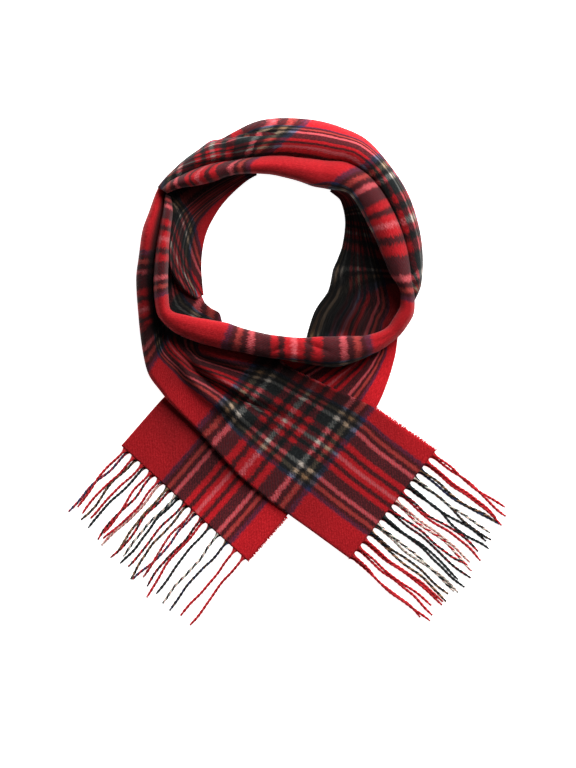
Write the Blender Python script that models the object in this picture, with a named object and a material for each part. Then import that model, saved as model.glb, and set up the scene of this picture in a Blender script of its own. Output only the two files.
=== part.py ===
"""Tartan neck scarf, doubled lengthwise and wound once round, lying flat on a table.

Lengths in the tables are millimetres. Sections of the loop stand in upright planes through
the middle of the neck hole, at bearings counted anticlockwise from +X.
"""

import math

import bmesh
import bpy
import numpy as np

MM = 0.001
WALL = 1.6  # one layer of brushed cloth
HALF = WALL / 2
LAYER_GAP = 0.8  # air between the two layers of the doubled cloth
SEAM = 0.3  # clearance between pieces that lie against each other
SLACK = 0.75  # room between the hidden layers and the cloth over them
DOUBLED = 2 * WALL + LAYER_GAP
ON_ONE = DOUBLED + SEAM  # underside of what lies on one doubled layer
ON_TWO = 2 * ON_ONE  # underside of what lies on two
END_SEAM_Y = 31.6  # where the left end passes into the stretch inside the loop, under the front
TUCK = 4.5  # how far an inner stretch runs in under the fold above it
NECK_X, NECK_Y = -13.0, 106.0  # middle of the neck hole
STEP = 7.5  # degrees between sections of the loop
BAND_VALLEY = 8  # the valley's place among the points that shape the loop's right side and top
BAND_FOLD_POINTS = 11  # evenly spaced points from their inner foot to the valley
BAND_OUTER_POINTS = 10  # and from the valley to the outer foot
FOLD_POINTS = 18  # evenly spaced points over the fold

STRIP_DEPTH = 3.0  # woven strip that carries the fringe
STRANDS = 27
STRAND_RADIUS = 1.05
STRAND_SIDES = 3
STRAND_STEPS = 4
STRAND_LEAN = 2.4  # how far the strands swing to one side, and how far they wave
STRAND_WAVE = 1.8
# Way and length of the strands at the fold and at the selvedge of each end.
LEFT_FRINGE = (((-0.69, -0.72), 73.0), ((-0.62, -0.78), 86.0))
RIGHT_FRINGE = (((0.755, -0.656), 90.0), ((0.807, -0.591), 85.0))

RED = (0.55, 0.03, 0.035)
DARK_RED = (0.22, 0.02, 0.025)
CHARCOAL = (0.035, 0.03, 0.032)

# Right side and top of the loop, one row a section. Radii of the fold's inner side, of the
# valley behind the fold and of the outer rim; heights of the hidden inner foot, of the fold,
# the valley and the crest of the outer band.
BAND_COLUMNS = ("bearing", "fold", "valley", "rim", "foot", "fold_top", "dip", "crest")
BAND = [
    (-17, 119.0, 129.5, 134.0, 9.0, 25.0, 19.0, 18.0),
    (-8, 104.5, 124.5, 133.0, 11.5, 30.0, 19.5, 21.0),
    (4, 94.5, 119.5, 132.5, 13.0, 34.0, 20.0, 25.0),
    (20, 89.0, 114.0, 131.5, 14.0, 37.0, 20.0, 28.0),
    (38, 87.0, 111.5, 132.0, 14.5, 38.0, 20.0, 30.0),
    (50, 76.0, 106.5, 132.5, 14.5, 38.0, 20.0, 31.0),
    (62, 70.0, 95.5, 129.5, 14.5, 38.0, 19.5, 31.0),
    (78, 69.0, 89.0, 123.5, 14.5, 37.0, 19.0, 30.0),
    (95, 72.0, 87.5, 120.0, 14.5, 36.0, 19.0, 30.0),
    (112, 77.5, 90.0, 114.5, 14.5, 35.0, 19.5, 28.0),
    (126, 82.0, 99.0, 115.0, 14.0, 35.0, 20.0, 27.0),
    (138, 92.0, 106.5, 116.5, 13.0, 33.0, 20.0, 22.5),
    (145, 102.5, 112.0, 118.3, 12.5, 28.0, 18.5, 17.5),
    (149.5, 108.5, 114.2, 119.0, 12.0, 23.0, 17.0, 16.0),
]

# The fold along the left side and across the front. Radii of its two sides, heights of the
# two feet that it stands on and of its top.
FOLD_COLUMNS = ("bearing", "inner", "outer", "inner_foot", "outer_foot", "top")
FOLD = [
    (150.4, 104.2, 109.6, 7.0, 7.0, 16.0),
    (153.5, 99.8, 107.3, 6.5, 6.5, 23.0),
    (157.5, 95.8, 105.3, 5.0, 5.0, 29.0),
    (162, 93.8, 104.0, 0.0, 0.0, 32.0),
    (170, 92.3, 103.0, 0.0, 0.0, 33.0),
    (180, 92.5, 104.5, 0.0, 0.0, 34.0),
    (192, 95.0, 108.5, 0.0, 0.0, 33.0),
    (201, 99.5, 113.0, 1.0, 1.0, 31.0),
    (208, 103.0, 116.0, 5.0, 5.0, 29.5),
    (216, 92.0, 113.0, ON_TWO, ON_TWO, 29.0),
    (226, 80.0, 105.0, ON_TWO, ON_TWO, 28.5),
    (240, 71.0, 95.5, ON_TWO, ON_TWO, 28.0),
    (256, 69.0, 90.5, ON_TWO, ON_TWO, 27.0),
    (272, 71.5, 92.5, ON_TWO, ON_TWO, 26.5),
    (286, 76.5, 101.0, 7.0, 7.0, 25.5),
    (300, 84.0, 115.0, 5.5, ON_ONE, 27.0),
    (311, 96.0, 122.5, 5.5, ON_ONE, 27.0),
    (320, 111.0, 129.5, 6.0, ON_ONE, 25.0),
    (330, 121.5, 134.0, 6.2, ON_ONE, 22.0),
    (337.5, 122.5, 135.0, 7.2, 0.0, 22.5),
    (343, 119.0, 134.0, 8.2, 0.0, 24.5),
]
FOLD_CORNER = 206.0  # bearing where the left side of the fold turns into the front
BAND_CORNER = 42.0  # bearing where the right side turns into the top

# Stretches inside the loop: radius at the neck hole, radius of the hidden side and the height
# of the cloth's upper face there.
INSIDE_COLUMNS = ("bearing", "hole", "hidden", "height")
INSIDE_RIGHT = [
    (-66, 74.5, 80.5, DOUBLED),
    (-54, 65.5, 91.0, DOUBLED),
    (-42, 60.5, 110.0, DOUBLED),
    (-35, 59.3, 128.0, DOUBLED),
    (-32, 59.0, 130.5, DOUBLED),
    (-24, 57.0, 129.5, 4.6),
    (-14, 55.5, 116.5, 7.0),
    (-4, 58.0, 104.5, 9.0),
    (8, 63.0, 96.5, 10.0),
    (24, 71.0, 93.0, 11.0),
    (38, 77.5, 91.5, 11.5),
    (48, 76.5, 82.0, 11.5),
    (54, 71.0, 77.0, 11.5),
]
INSIDE_LEFT = [
    (101, 72.6, 78.0, DOUBLED),
    (107, 70.7, 80.5, 6.0),
    (116, 67.5, 83.0, 10.0),
    (128, 64.5, 87.5, 11.0),
    (138, 63.0, 96.5, 10.5),
    (146, 62.2, 106.5, 9.5),
    (150.5, 62.0, 102.4, 11.0),
    (157.5, 62.0, 94.6, 16.0),
    (170, 62.2, 91.4, 19.0),
    (183, 63.2, 91.8, 18.0),
    (191, 64.5, 89.0, 14.0),
    (201, 67.0, 83.5, 9.5),
    (210, 70.7, 79.2, 6.0),
]
LOWER_LEFT = [
    (193, 88.8, 94.8, 6.0),
    (201, 84.2, 98.8, 6.5),
    (208, 80.8, 102.0, DOUBLED),
    (213, 78.2, 97.0, DOUBLED),
    (216, 73.0, 94.0, DOUBLED),
    (224, 71.5, 87.0, DOUBLED),
    (233, 74.5, 83.5, DOUBLED),
]

# Where the hidden layers pass low under the loop's upper left corner: bearing and radii.
UNDER_CORNER = [(145, 109.5, 113.0), (151.5, 104.2, 106.6), (157.5, 98.6, 102.1)]
CORNER_TOP = 4.5

# The two ends of the scarf. Each row crosses the cloth: where its fold and its two selvedges
# lie, the height of its underside, how far the fold stands up, the height of the upper
# selvedge above the underside, and how far the pleats rise.
END_COLUMNS = ("fold_x", "fold_y", "edge_x", "edge_y", "base", "fold_rise", "edge_rise", "pleat")
LEFT_END = [
    (-148.0, -64.0, -35.0, -167.0, 0.0, DOUBLED, DOUBLED, 0.0),
    (-128.0, -41.0, -14.0, -143.0, 0.0, DOUBLED, DOUBLED, 0.0),
    (-109.0, -20.0, 8.0, -117.0, 0.0, DOUBLED, DOUBLED, 0.0),
    (-73.0, 10.0, 43.0, -76.0, 0.0, DOUBLED, DOUBLED, 0.0),
    (-35.0, 22.0, 66.0, -50.0, 0.0, DOUBLED, DOUBLED, 0.0),
    (-12.0, 26.0, 81.5, -27.0, 0.0, DOUBLED, DOUBLED, 0.0),
    (5.0, 28.5, 92.0, -2.0, 0.0, DOUBLED, DOUBLED, 0.0),
    (17.5, END_SEAM_Y, 98.7, END_SEAM_Y, 0.0, DOUBLED, DOUBLED, 0.0),
]
RIGHT_END = [
    (56.0, -165.0, 133.0, -68.0, 0.0, DOUBLED, DOUBLED, 0.0),
    (19.0, -138.0, 98.0, -44.0, 0.0, DOUBLED, DOUBLED, 0.0),
    (3.0, -126.5, 82.0, -32.5, ON_ONE, DOUBLED, DOUBLED, 0.0),
    (-41.0, -92.0, 31.0, -8.0, ON_ONE, DOUBLED, DOUBLED, 0.8),
    (-62.0, -70.0, 5.0, 5.0, ON_ONE, DOUBLED, DOUBLED, 1.4),
    (-83.0, -47.0, -19.0, 20.0, ON_ONE, 4.6, DOUBLED, 2.2),
    (-104.0, -23.0, -64.0, 30.0, ON_ONE, 6.0, DOUBLED, 3.2),
    (-109.5, -14.5, -76.0, 31.0, ON_ONE, 7.5, DOUBLED, 3.2),
    (-121.0, 4.0, -105.5, 36.5, 0.0, 13.0, 6.5, 2.4),
    (-132.0, 50.5, -118.4, 56.5, 0.0, 21.0, 12.0, 0.0),
    (-134.5, 84.5, -121.0, 87.0, 0.0, 23.5, 15.0, 0.0),
    (-132.0, 106.0, -119.5, 106.0, 0.0, 24.5, 15.5, 0.0),
    (-129.2, 126.5, -116.5, 124.2, 0.0, 24.5, 15.5, 0.0),
    (-122.5, 145.9, -112.8, 142.3, 0.0, 20.0, 14.0, 0.0),
    (-115.9, 164.0, -109.0, 160.2, 0.0, 12.0, 8.5, 0.0),
]
PLEATS = (0.34, 0.47, 0.60, 0.73, 0.86)  # where the pleats run, from selvedge to fold
PLEAT_WIDTH = 0.045


def named(columns, rows):
    """The table's columns as arrays, by name."""
    return {name: np.array(values, float) for name, values in zip(columns, zip(*rows))}


def smooth(places, values, at):
    """A curve through the values at these places that doesn't overshoot them."""
    places, values, at = np.asarray(places, float), np.asarray(values, float), np.asarray(at, float)
    step = np.diff(places)
    slope = np.diff(values) / step
    tangent = np.zeros_like(values)
    tangent[0], tangent[-1] = slope[0], slope[-1]
    before, after = slope[:-1], slope[1:]
    same_way = before * after > 0
    weight_a = 2 * step[1:] + step[:-1]
    weight_b = step[1:] + 2 * step[:-1]
    safe_before = np.where(same_way, before, 1.0)
    safe_after = np.where(same_way, after, 1.0)
    mean = (weight_a + weight_b) / (weight_a / safe_before + weight_b / safe_after)
    tangent[1:-1] = np.where(same_way, mean, 0.0)
    cell = np.clip(np.searchsorted(places, at, side="right") - 1, 0, len(step) - 1)
    t = (at - places[cell]) / step[cell]
    return (
        (2 * t**3 - 3 * t**2 + 1) * values[cell]
        + (t**3 - 2 * t**2 + t) * step[cell] * tangent[cell]
        + (3 * t**2 - 2 * t**3) * values[cell + 1]
        + (t**3 - t**2) * step[cell] * tangent[cell + 1]
    )


def at_bearing(columns, rows, bearing):
    """One section's sizes, read from a table of bearings."""
    table = named(columns, rows)
    return {name: float(smooth(table["bearing"], table[name], bearing)) for name in columns}


def offset(points, distance):
    """A line moved sideways by a distance, mitred, to the right of its run."""
    points = np.asarray(points, float)
    run = np.diff(points, axis=0)
    run /= np.linalg.norm(run, axis=1)[:, None]
    right = np.column_stack([run[:, 1], -run[:, 0]])
    mitre = np.vstack([right[:1], right]) + np.vstack([right, right[-1:]])
    mitre /= np.maximum(0.8, 0.5 * np.sum(mitre * mitre, axis=1))[:, None]
    return points + distance * mitre


def wall(points):
    """The outline of a wall of cloth whose middle follows these points."""
    return np.vstack([offset(points, -HALF), offset(points, HALF)[::-1]])


def resampled(points, count):
    """The same number of evenly spaced points along each section's smooth line."""
    points = np.array(points, float)
    run = np.concatenate([[0.0], np.cumsum(np.hypot(*np.diff(points, axis=0).T))])
    places = np.linspace(0.0, run[-1], count)
    return np.column_stack([smooth(run, points[:, 0], places), smooth(run, points[:, 1], places)])


def upright(bearing, section):
    """A section of radii and heights, stood in its plane round the neck hole."""
    angle = math.radians(bearing)
    section = np.asarray(section)
    x = NECK_X + section[:, 0] * math.cos(angle)
    y = NECK_Y + section[:, 0] * math.sin(angle)
    return np.column_stack([x, y, section[:, 1]])


def bearings(first, last):
    """The bearings of a piece's sections: its two ends and the whole steps between them."""
    inside = np.arange(math.ceil((first + 1.5) / STEP) * STEP, last - 1.4, STEP)
    return [first, *inside, last]


def material(name, colour):
    """Matt brushed cloth in one flat colour."""
    cloth = bpy.data.materials.new(name)
    cloth.use_nodes = True
    shader = cloth.node_tree.nodes["Principled BSDF"]
    shader.inputs["Base Color"].default_value = (*colour, 1.0)
    shader.inputs["Roughness"].default_value = 0.92
    shader.inputs["Metallic"].default_value = 0.0
    cloth.diffuse_color = (*colour, 1.0)
    return cloth


def collection(name):
    """A new collection in the scene."""
    group = bpy.data.collections.new(name)
    bpy.context.scene.collection.children.link(group)
    return group


def mesh_object(name, points, faces, cloth, group):
    """A named object from points in millimetres."""
    mesh = bpy.data.meshes.new(name)
    mesh.from_pydata((np.asarray(points) * MM).tolist(), [], faces)
    mesh.materials.append(cloth)
    piece = bpy.data.objects.new(name, mesh)
    group.objects.link(piece)
    return piece


def grid_faces(rows, columns, wrap=False):
    """Quads between neighbouring rows of a grid, closed across the rows if it wraps."""
    across = columns if wrap else columns - 1
    faces = []
    for i in range(rows - 1):
        here, ahead = i * columns, (i + 1) * columns
        for j in range(across):
            beside = (j + 1) % columns
            faces.append((here + j, here + beside, ahead + beside, ahead + j))
    return faces


def face_outward(piece):
    """Turn the faces of a closed mesh to point out."""
    work = bmesh.new()
    work.from_mesh(piece.data)
    bmesh.ops.recalc_face_normals(work, faces=work.faces)
    work.to_mesh(piece.data)
    work.free()


def closed_loft(name, sections, cloth, group):
    """A filled solid through closed sections, with flat ends."""
    sections = np.array(sections)
    rows, columns = sections.shape[:2]
    faces = grid_faces(rows, columns, wrap=True)
    faces.append(tuple(range(columns)))
    faces.append(tuple(reversed(range((rows - 1) * columns, rows * columns))))
    piece = mesh_object(name, sections.reshape(-1, 3), faces, cloth, group)
    face_outward(piece)
    piece.data.shade_smooth()
    return piece


def band_profile(s):
    """Section of the loop's right side or top: foot, fold, valley, outer crest, foot."""
    fold, valley, rim = s["fold"], s["valley"], s["rim"]
    fold_width, outer_width = valley - fold, rim - valley
    top, dip, crest, foot = s["fold_top"], s["dip"], s["crest"], s["foot"]
    return [
        (fold + TUCK - 1.0, foot),
        (fold + 1.6, foot + 1.2),
        (fold + HALF, foot + 0.35 * (top - foot)),
        (fold + HALF + 0.08 * fold_width, top - 0.22 * (top - foot)),
        (fold + 0.28 * fold_width, top - 1.6),
        (fold + 0.48 * fold_width, top - HALF),
        (fold + 0.72 * fold_width, top - 0.22 * (top - dip)),
        (fold + 0.9 * fold_width, dip + 0.25 * (top - dip)),
        (valley, dip),
        (valley + 0.22 * outer_width, dip + 0.55 * (crest - dip)),
        (valley + 0.46 * outer_width, crest - HALF),
        (rim - HALF - 0.2 * outer_width, crest * 0.8),
        (rim - HALF, crest * 0.46),
        (rim - HALF - 0.4, 4.0),
        (rim - 3.0, HALF),
    ]


def band_line(bearing):
    """Evenly spaced points along that section, with one at its valley."""
    profile = band_profile(at_bearing(BAND_COLUMNS, BAND, bearing))
    inner = resampled(profile[: BAND_VALLEY + 1], BAND_FOLD_POINTS)
    outer = resampled(profile[BAND_VALLEY:], BAND_OUTER_POINTS)
    return np.vstack([inner, outer[1:]])


def fold_line(bearing):
    """Evenly spaced points along the fold's section."""
    return resampled(fold_profile(at_bearing(FOLD_COLUMNS, FOLD, bearing)), FOLD_POINTS)


def fold_profile(s):
    """Section of the fold: an arch from its inner foot over the top to its outer foot."""
    inner, outer = s["inner"] + HALF, s["outer"] - HALF
    middle, reach = 0.5 * (inner + outer), 0.5 * (outer - inner)
    low_in, low_out, top = s["inner_foot"] + HALF, s["outer_foot"] + HALF, s["top"] - HALF
    points = [(middle - 0.78 * reach, low_in)]
    for degrees in (200, 180, 155, 130, 110, 90, 70, 50, 25, 0, -20):
        angle = math.radians(degrees)
        low = low_in if degrees > 90 else low_out
        shoulder = low + 0.42 * (top - low)
        rise = top - shoulder if degrees % 360 < 190 else shoulder - low
        points.append((middle + reach * math.cos(angle), shoulder + rise * math.sin(angle)))
    points.append((middle + 0.78 * reach, low_out))
    return points


def doubled_section(edge, fold, base, fold_rise, edge_rise, pleat, across):
    """Doubled cloth from its lower selvedge round the fold and back to its upper selvedge."""
    edge, fold = np.array(edge, float), np.array(fold, float)
    width = float(np.hypot(*(fold - edge)))
    low = base + HALF
    half_rise = 0.5 * (fold_rise - WALL)
    reach = min(max(half_rise, 0.5 * (WALL + LAYER_GAP)), 0.36 * width)
    turn = width - HALF - reach
    line = [(1.5 + share * (turn - 1.5), low) for share in (0.0, 0.33, 0.66)]
    for degrees in (-90, -60, -30, 0, 30, 55, 74):
        angle = math.radians(degrees)
        line.append((turn + reach * math.cos(angle), low + half_rise * (1 + math.sin(angle))))
    for share in np.linspace(1.0, 0.0, across):
        level = edge_rise + (fold_rise - edge_rise) * math.sin(0.5 * math.pi * share)
        ridges = sum(math.exp(-(((share - place) / PLEAT_WIDTH) ** 2)) for place in PLEATS)
        line.append((share * turn, base + level - HALF + pleat * ridges))
    along, height = wall(line).T
    place = edge + np.outer(along / width, fold - edge)
    return np.column_stack([place, height])


def inside_sections(rows, fold_at_hole, across=7):
    """Sections of a doubled stretch inside the loop, flat below and rising to its hidden side."""
    sections = []
    for bearing in bearings(rows[0][0], rows[-1][0]):
        angle = math.radians(bearing)
        way = np.array([math.cos(angle), math.sin(angle)])
        s = at_bearing(INSIDE_COLUMNS, rows, bearing)
        hidden = s["hidden"]
        if bearing < 0:
            hidden = min(hidden, (NECK_Y - END_SEAM_Y - SEAM) / math.sin(-angle))
        near = np.array([NECK_X, NECK_Y]) + s["hole"] * way
        far = np.array([NECK_X, NECK_Y]) + hidden * way
        if fold_at_hole:
            sections.append(doubled_section(far, near, 0.0, DOUBLED, s["height"], 0.0, across))
        else:
            sections.append(doubled_section(near, far, 0.0, s["height"], DOUBLED, 0.0, across))
    return sections


def end_sections(rows, spacing, across):
    """Sections of one end of the scarf, at each row and evenly spaced between the rows."""
    table = named(END_COLUMNS, rows)
    middle = np.column_stack(
        [table["fold_x"] + table["edge_x"], table["fold_y"] + table["edge_y"]]
    )
    run = np.concatenate([[0.0], np.cumsum(np.hypot(*np.diff(middle / 2, axis=0).T))])
    sections = []
    places = [0.0]
    for start, end in zip(run[:-1], run[1:]):
        places += list(np.linspace(start, end, max(1, round((end - start) / spacing)) + 1)[1:])
    for place in places:
        s = {name: float(smooth(run, table[name], place)) for name in END_COLUMNS}
        edge, fold = (s["edge_x"], s["edge_y"]), (s["fold_x"], s["fold_y"])
        sections.append(
            doubled_section(edge, fold, s["base"], s["fold_rise"], s["edge_rise"], s["pleat"], across)
        )
    return sections


def make_band(name, first, last, cloth, group):
    """Part of the loop's right side and top."""
    sections = []
    for bearing in bearings(first, last):
        sections.append(upright(bearing, wall(band_line(bearing))))
    return closed_loft(name, sections, cloth, group)


def make_fold(name, first, last, cloth, group):
    """Part of the fold along the left side and the front."""
    sections = []
    for bearing in bearings(first, last):
        sections.append(upright(bearing, wall(fold_line(bearing))))
    return closed_loft(name, sections, cloth, group)


def hidden_section(bearing):
    """Section of the hidden layers: stepped layer edges inside, the cloth's form above."""
    clearance = HALF + SLACK
    if bearing <= BAND[-1][0]:
        s = at_bearing(BAND_COLUMNS, BAND, bearing)
        line = band_line(bearing)
        skin = offset(line, clearance)[4:-2]
        inner, outer, base = s["fold"] + TUCK + 1.4, line[-1, 0] - WALL, 0.0
        skin[:, 0] = np.maximum(skin[:, 0], inner)
    else:
        s = at_bearing(FOLD_COLUMNS, FOLD, bearing)
        line = fold_line(bearing)
        skin = offset(line, clearance)[2:-2]
        inner, outer = line[0, 0] + clearance, line[-1, 0] - clearance
        base = max(s["inner_foot"], s["outer_foot"])
    step = min(1.5, 0.12 * (outer - inner))
    layer = min(WALL, 0.25 * (skin[0, 1] - base))
    edges = [
        (inner + 2 * step, base),
        (inner, base + 0.25 * layer),
        (inner, base + layer),
        (inner + step, base + 1.3 * layer),
        (inner + step, base + 2.3 * layer),
        (inner, base + 2.6 * layer),
    ]
    close = [(outer, base + 0.3 * (skin[-1, 1] - base)), (outer, base)]
    return np.vstack([edges, skin, close])


def low_section(like, near, far, top):
    """A hidden section squeezed low between two radii, where it passes under the corner."""
    low, high = like.min(axis=0), like.max(axis=0)
    return np.array([near, 0.0]) + (like - low) / (high - low) * np.array([far - near, top])


def make_hidden_layers(cloth, group):
    """The layers that the loop hides, as one solid under its folds."""
    first_part = [*bearings(-STEP, BAND_CORNER), *bearings(BAND_CORNER + 0.2, 18.4 * STEP)]
    second_part = [*bearings(22 * STEP, FOLD_CORNER), *bearings(FOLD_CORNER + 0.2, 42 * STEP)]
    sections = [upright(b, hidden_section(b)) for b in first_part]
    for bearing, near, far in UNDER_CORNER:
        squeezed = low_section(hidden_section(second_part[0]), near, far, CORNER_TOP)
        sections.append(upright(bearing, squeezed))
    sections += [upright(b, hidden_section(b)) for b in second_part]
    return closed_loft("hidden_layers", sections, cloth, group)


def strand(root, way, length, number, level):
    """Points and faces of one twisted strand, a thin tapered tube along a wavy line."""
    side = np.array([way[1], -way[0]])
    lean = STRAND_LEAN * math.sin(0.5 * number + 1.0)
    points, faces = [], []
    for i in range(STRAND_STEPS + 1):
        share = i / STRAND_STEPS
        bend = lean * share**2 + STRAND_WAVE * math.sin(0.4 * number + 5.0 * share) * share
        centre = root + way * (length * share) + side * bend
        height = level + (STRAND_RADIUS + SEAM - level) * min(1.0, 3.0 * share)
        radius = STRAND_RADIUS * (1.0 - 0.25 * share)
        for k in range(STRAND_SIDES):
            angle = 2 * math.pi * (k + 0.5) / STRAND_SIDES
            across, up = radius * math.cos(angle), radius * math.sin(angle)
            points.append((*(centre + side * across), max(height, radius + SEAM) + up))
    tip = STRAND_STEPS * STRAND_SIDES
    faces += grid_faces(STRAND_STEPS + 1, STRAND_SIDES, wrap=True)
    faces.append(tuple(range(STRAND_SIDES)))
    faces.append(tuple(reversed(range(tip, tip + STRAND_SIDES))))
    return points, faces


def make_fringe(name, rows, at_fold, at_edge, cloth, group, cutters):
    """A woven strip along one end of the scarf, with a row of twisted strands fused into it."""
    table = named(END_COLUMNS, rows)
    fold = np.array([table["fold_x"][0], table["fold_y"][0]])
    edge = np.array([table["edge_x"][0], table["edge_y"][0]])
    across = (edge - fold) / np.hypot(*(edge - fold))
    out = np.array([across[1], -across[0]])
    if np.dot(out, fold - np.array([table["fold_x"][1], table["fold_y"][1]])) < 0:
        out = -out
    sections = []
    for depth in (SEAM, SEAM + STRIP_DEPTH):
        shift = out * depth
        sections.append(doubled_section(edge + shift, fold + shift, 0.0, DOUBLED, DOUBLED, 0.0, 2))
    strip = closed_loft(name, sections, cloth, group)
    width = float(np.hypot(*(edge - fold)))
    points, faces = [], []
    for i in range(STRANDS):
        share = (i + 0.5) / STRANDS
        root = fold + across * (2.5 + share * (width - 5.0)) + out * (SEAM + STRIP_DEPTH - 1.4)
        way = np.array(at_fold[0]) * (1 - share) + np.array(at_edge[0]) * share
        way /= np.hypot(*way)
        length = at_fold[1] * (1 - share) + at_edge[1] * share - STRIP_DEPTH
        length *= 1 + 0.04 * math.sin(2.1 * i + 0.4)
        level = DOUBLED - HALF - SEAM if i % 2 else HALF + SEAM
        new_points, new_faces = strand(root, way, length, i, level)
        faces += [tuple(len(points) + k for k in face) for face in new_faces]
        points += new_points
    strands = mesh_object(name + "_strands", points, faces, cloth, cutters)
    face_outward(strands)
    strands.hide_render = True
    strands.display_type = "WIRE"
    fuse = strip.modifiers.new("fused roots", "BOOLEAN")
    fuse.operation = "UNION"
    fuse.solver = "EXACT"
    fuse.object = strands
    return strip


def main():
    """Build every piece of the scarf."""
    for item in list(bpy.data.objects):
        bpy.data.objects.remove(item, do_unlink=True)
    group = collection("tartan_scarf")
    cutters = collection("cutters")
    red = material("red brushed cloth", RED)
    dark_red = material("shaded red brushed cloth", DARK_RED)
    charcoal = material("charcoal brushed cloth", CHARCOAL)

    closed_loft("panel_left", end_sections(LEFT_END, 40.0, 8), red, group)
    closed_loft("panel_right", end_sections(RIGHT_END, 16.0, 16), red, group)
    closed_loft("inner_right", inside_sections(INSIDE_RIGHT, True), charcoal, group)
    closed_loft("inner_left", inside_sections(INSIDE_LEFT, False), dark_red, group)
    closed_loft("inner_left_lower", inside_sections(LOWER_LEFT, True, 5), charcoal, group)
    make_band("band_right", BAND[0][0], BAND_CORNER, red, group)
    make_band("band_top", BAND_CORNER + 0.2, BAND[-1][0], red, group)
    make_fold("fold_left", FOLD[0][0], FOLD_CORNER, red, group)
    make_fold("front_band", FOLD_CORNER + 0.2, FOLD[-1][0] - 0.2, red, group)
    make_hidden_layers(charcoal, group)
    make_fringe("fringe_left", LEFT_END, *LEFT_FRINGE, charcoal, group, cutters)
    make_fringe("fringe_right", RIGHT_END, *RIGHT_FRINGE, charcoal, group, cutters)


main()
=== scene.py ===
import math

import bpy
import numpy as np
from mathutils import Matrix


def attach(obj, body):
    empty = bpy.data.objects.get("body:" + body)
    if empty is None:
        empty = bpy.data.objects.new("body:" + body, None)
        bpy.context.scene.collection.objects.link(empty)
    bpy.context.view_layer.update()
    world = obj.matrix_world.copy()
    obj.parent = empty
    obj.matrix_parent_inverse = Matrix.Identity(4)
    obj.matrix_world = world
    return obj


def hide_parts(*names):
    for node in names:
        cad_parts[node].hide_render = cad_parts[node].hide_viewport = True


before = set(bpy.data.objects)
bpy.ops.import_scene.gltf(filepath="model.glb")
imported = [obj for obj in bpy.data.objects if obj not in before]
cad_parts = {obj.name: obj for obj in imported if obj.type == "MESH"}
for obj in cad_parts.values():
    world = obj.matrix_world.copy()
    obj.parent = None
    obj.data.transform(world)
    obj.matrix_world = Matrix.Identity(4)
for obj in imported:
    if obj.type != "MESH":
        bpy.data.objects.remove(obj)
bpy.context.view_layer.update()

# Lengths are millimetres until a mesh is written. Each piece's cloth map gives its place on
# the flat cloth: u across its width from one selvedge, v along its length from the fringe.
mm = 0.001
neck = np.array([-13.0, 106.0])  # middle of the neck hole
cloth = {
    "width": 257.0, "fold": 126.5,  # of the whole cloth, and where it is folded lengthwise
    "thick": 1.5,
    "shadeRange": (-1.1, 1.1),  # least and most of the shade painted on a sheet
}


def readTable(columns, rows):
    # each named column of the rows as an array; numbers left out at a row's end are 0
    names = columns.split()
    filled = np.array([tuple(row) + (0,) * (len(names) - len(row)) for row in rows], float)
    return dict(zip(names, filled.T))


def tableAt(table, at):
    # every column as a smooth line over the first one, read at these places
    places = next(iter(table.values()))
    return {name: smooth(places, column, at) for name, column in table.items()}


def smooth(places, values, at):
    # monotone cubic through the values: the slope at each is the weighted harmonic mean of
    # the slopes on its two sides, or 0 at a peak, so that the line never overshoots a value
    places, values, at = (np.asarray(part, float) for part in (places, values, at))
    if places[0] > places[-1]:
        places, values = places[::-1], values[::-1]
    step = np.diff(places)
    slope = np.diff(values) / step
    tangent = np.zeros_like(values)
    tangent[0], tangent[-1] = slope[0], slope[-1]
    before, after = slope[:-1], slope[1:]
    same = before * after > 0
    near, far = 2 * step[1:] + step[:-1], step[1:] + 2 * step[:-1]
    mean = (near + far) / (near / np.where(same, before, 1.0) + far / np.where(same, after, 1.0))
    tangent[1:-1] = np.where(same, mean, 0.0)
    cell = np.clip(np.searchsorted(places, at, side="right") - 1, 0, len(step) - 1)
    t = np.clip((at - places[cell]) / step[cell], 0.0, 1.0)
    return (
        (2 * t**3 - 3 * t**2 + 1) * values[cell]
        + (t**3 - 2 * t**2 + t) * step[cell] * tangent[cell]
        + (3 * t**2 - 2 * t**3) * values[cell + 1]
        + (t**3 - t**2) * step[cell] * tangent[cell + 1]
    )


def smoothStep(low, high, value):
    # 0 below low and 1 above high; between them 3 t squared minus 2 t cubed of the share t
    share = np.clip((np.asarray(value, float) - low) / (high - low), 0.0, 1.0)
    return share * share * (3 - 2 * share)


def bell(value, middle, width):
    # 1 at the middle, falling as e to the minus square of the distance over the width
    return np.exp(-((value - middle) / width) ** 2)


def stackKeys(pairs):
    # the key points of every section, rows x keys x 2, from a pair for each key
    return np.stack([np.stack(np.broadcast_arrays(*pair), -1) for pair in pairs], axis=1)


def resampled(keys, counts):
    # each stretch between marked keys becomes an even run of points along a smooth line
    # through its keys; counts holds the last key of each stretch and the points in it
    parts, start = [], 0
    for last, count in counts.items():
        stretch = keys[:, start:last + 1]
        run = np.cumsum(np.linalg.norm(np.diff(stretch, axis=1), axis=2), axis=1)
        run = np.concatenate([np.zeros((len(keys), 1)), run], axis=1)
        share = np.linspace(0, 1, count)
        rows = []
        for keyRun, keyPoints in zip(run, stretch):
            at = share * keyRun[-1]
            rows.append(np.column_stack([smooth(keyRun, line, at) for line in keyPoints.T]))
        rows = np.array(rows)
        parts.append(rows if not parts else rows[:, 1:])
        start = last
    return np.concatenate(parts, axis=1)


def standUp(bearing, section):
    # sections stood upright round the neck hole: x and y are its middle plus the radius times
    # the cosine and the sine of the bearing, and z is the height
    angle = np.radians(bearing)[:, None]
    x = neck[0] + section[..., 0] * np.cos(angle)
    y = neck[1] + section[..., 0] * np.sin(angle)
    return np.stack([x, y, section[..., 1]], axis=-1)


def gridNormals(points):
    # the cross product of the grid's two directions, at unit length
    along, across = np.gradient(points, axis=0), np.gradient(points, axis=1)
    normal = np.cross(along, across)
    return normal / np.maximum(np.linalg.norm(normal, axis=2, keepdims=True), 1e-9)


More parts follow.
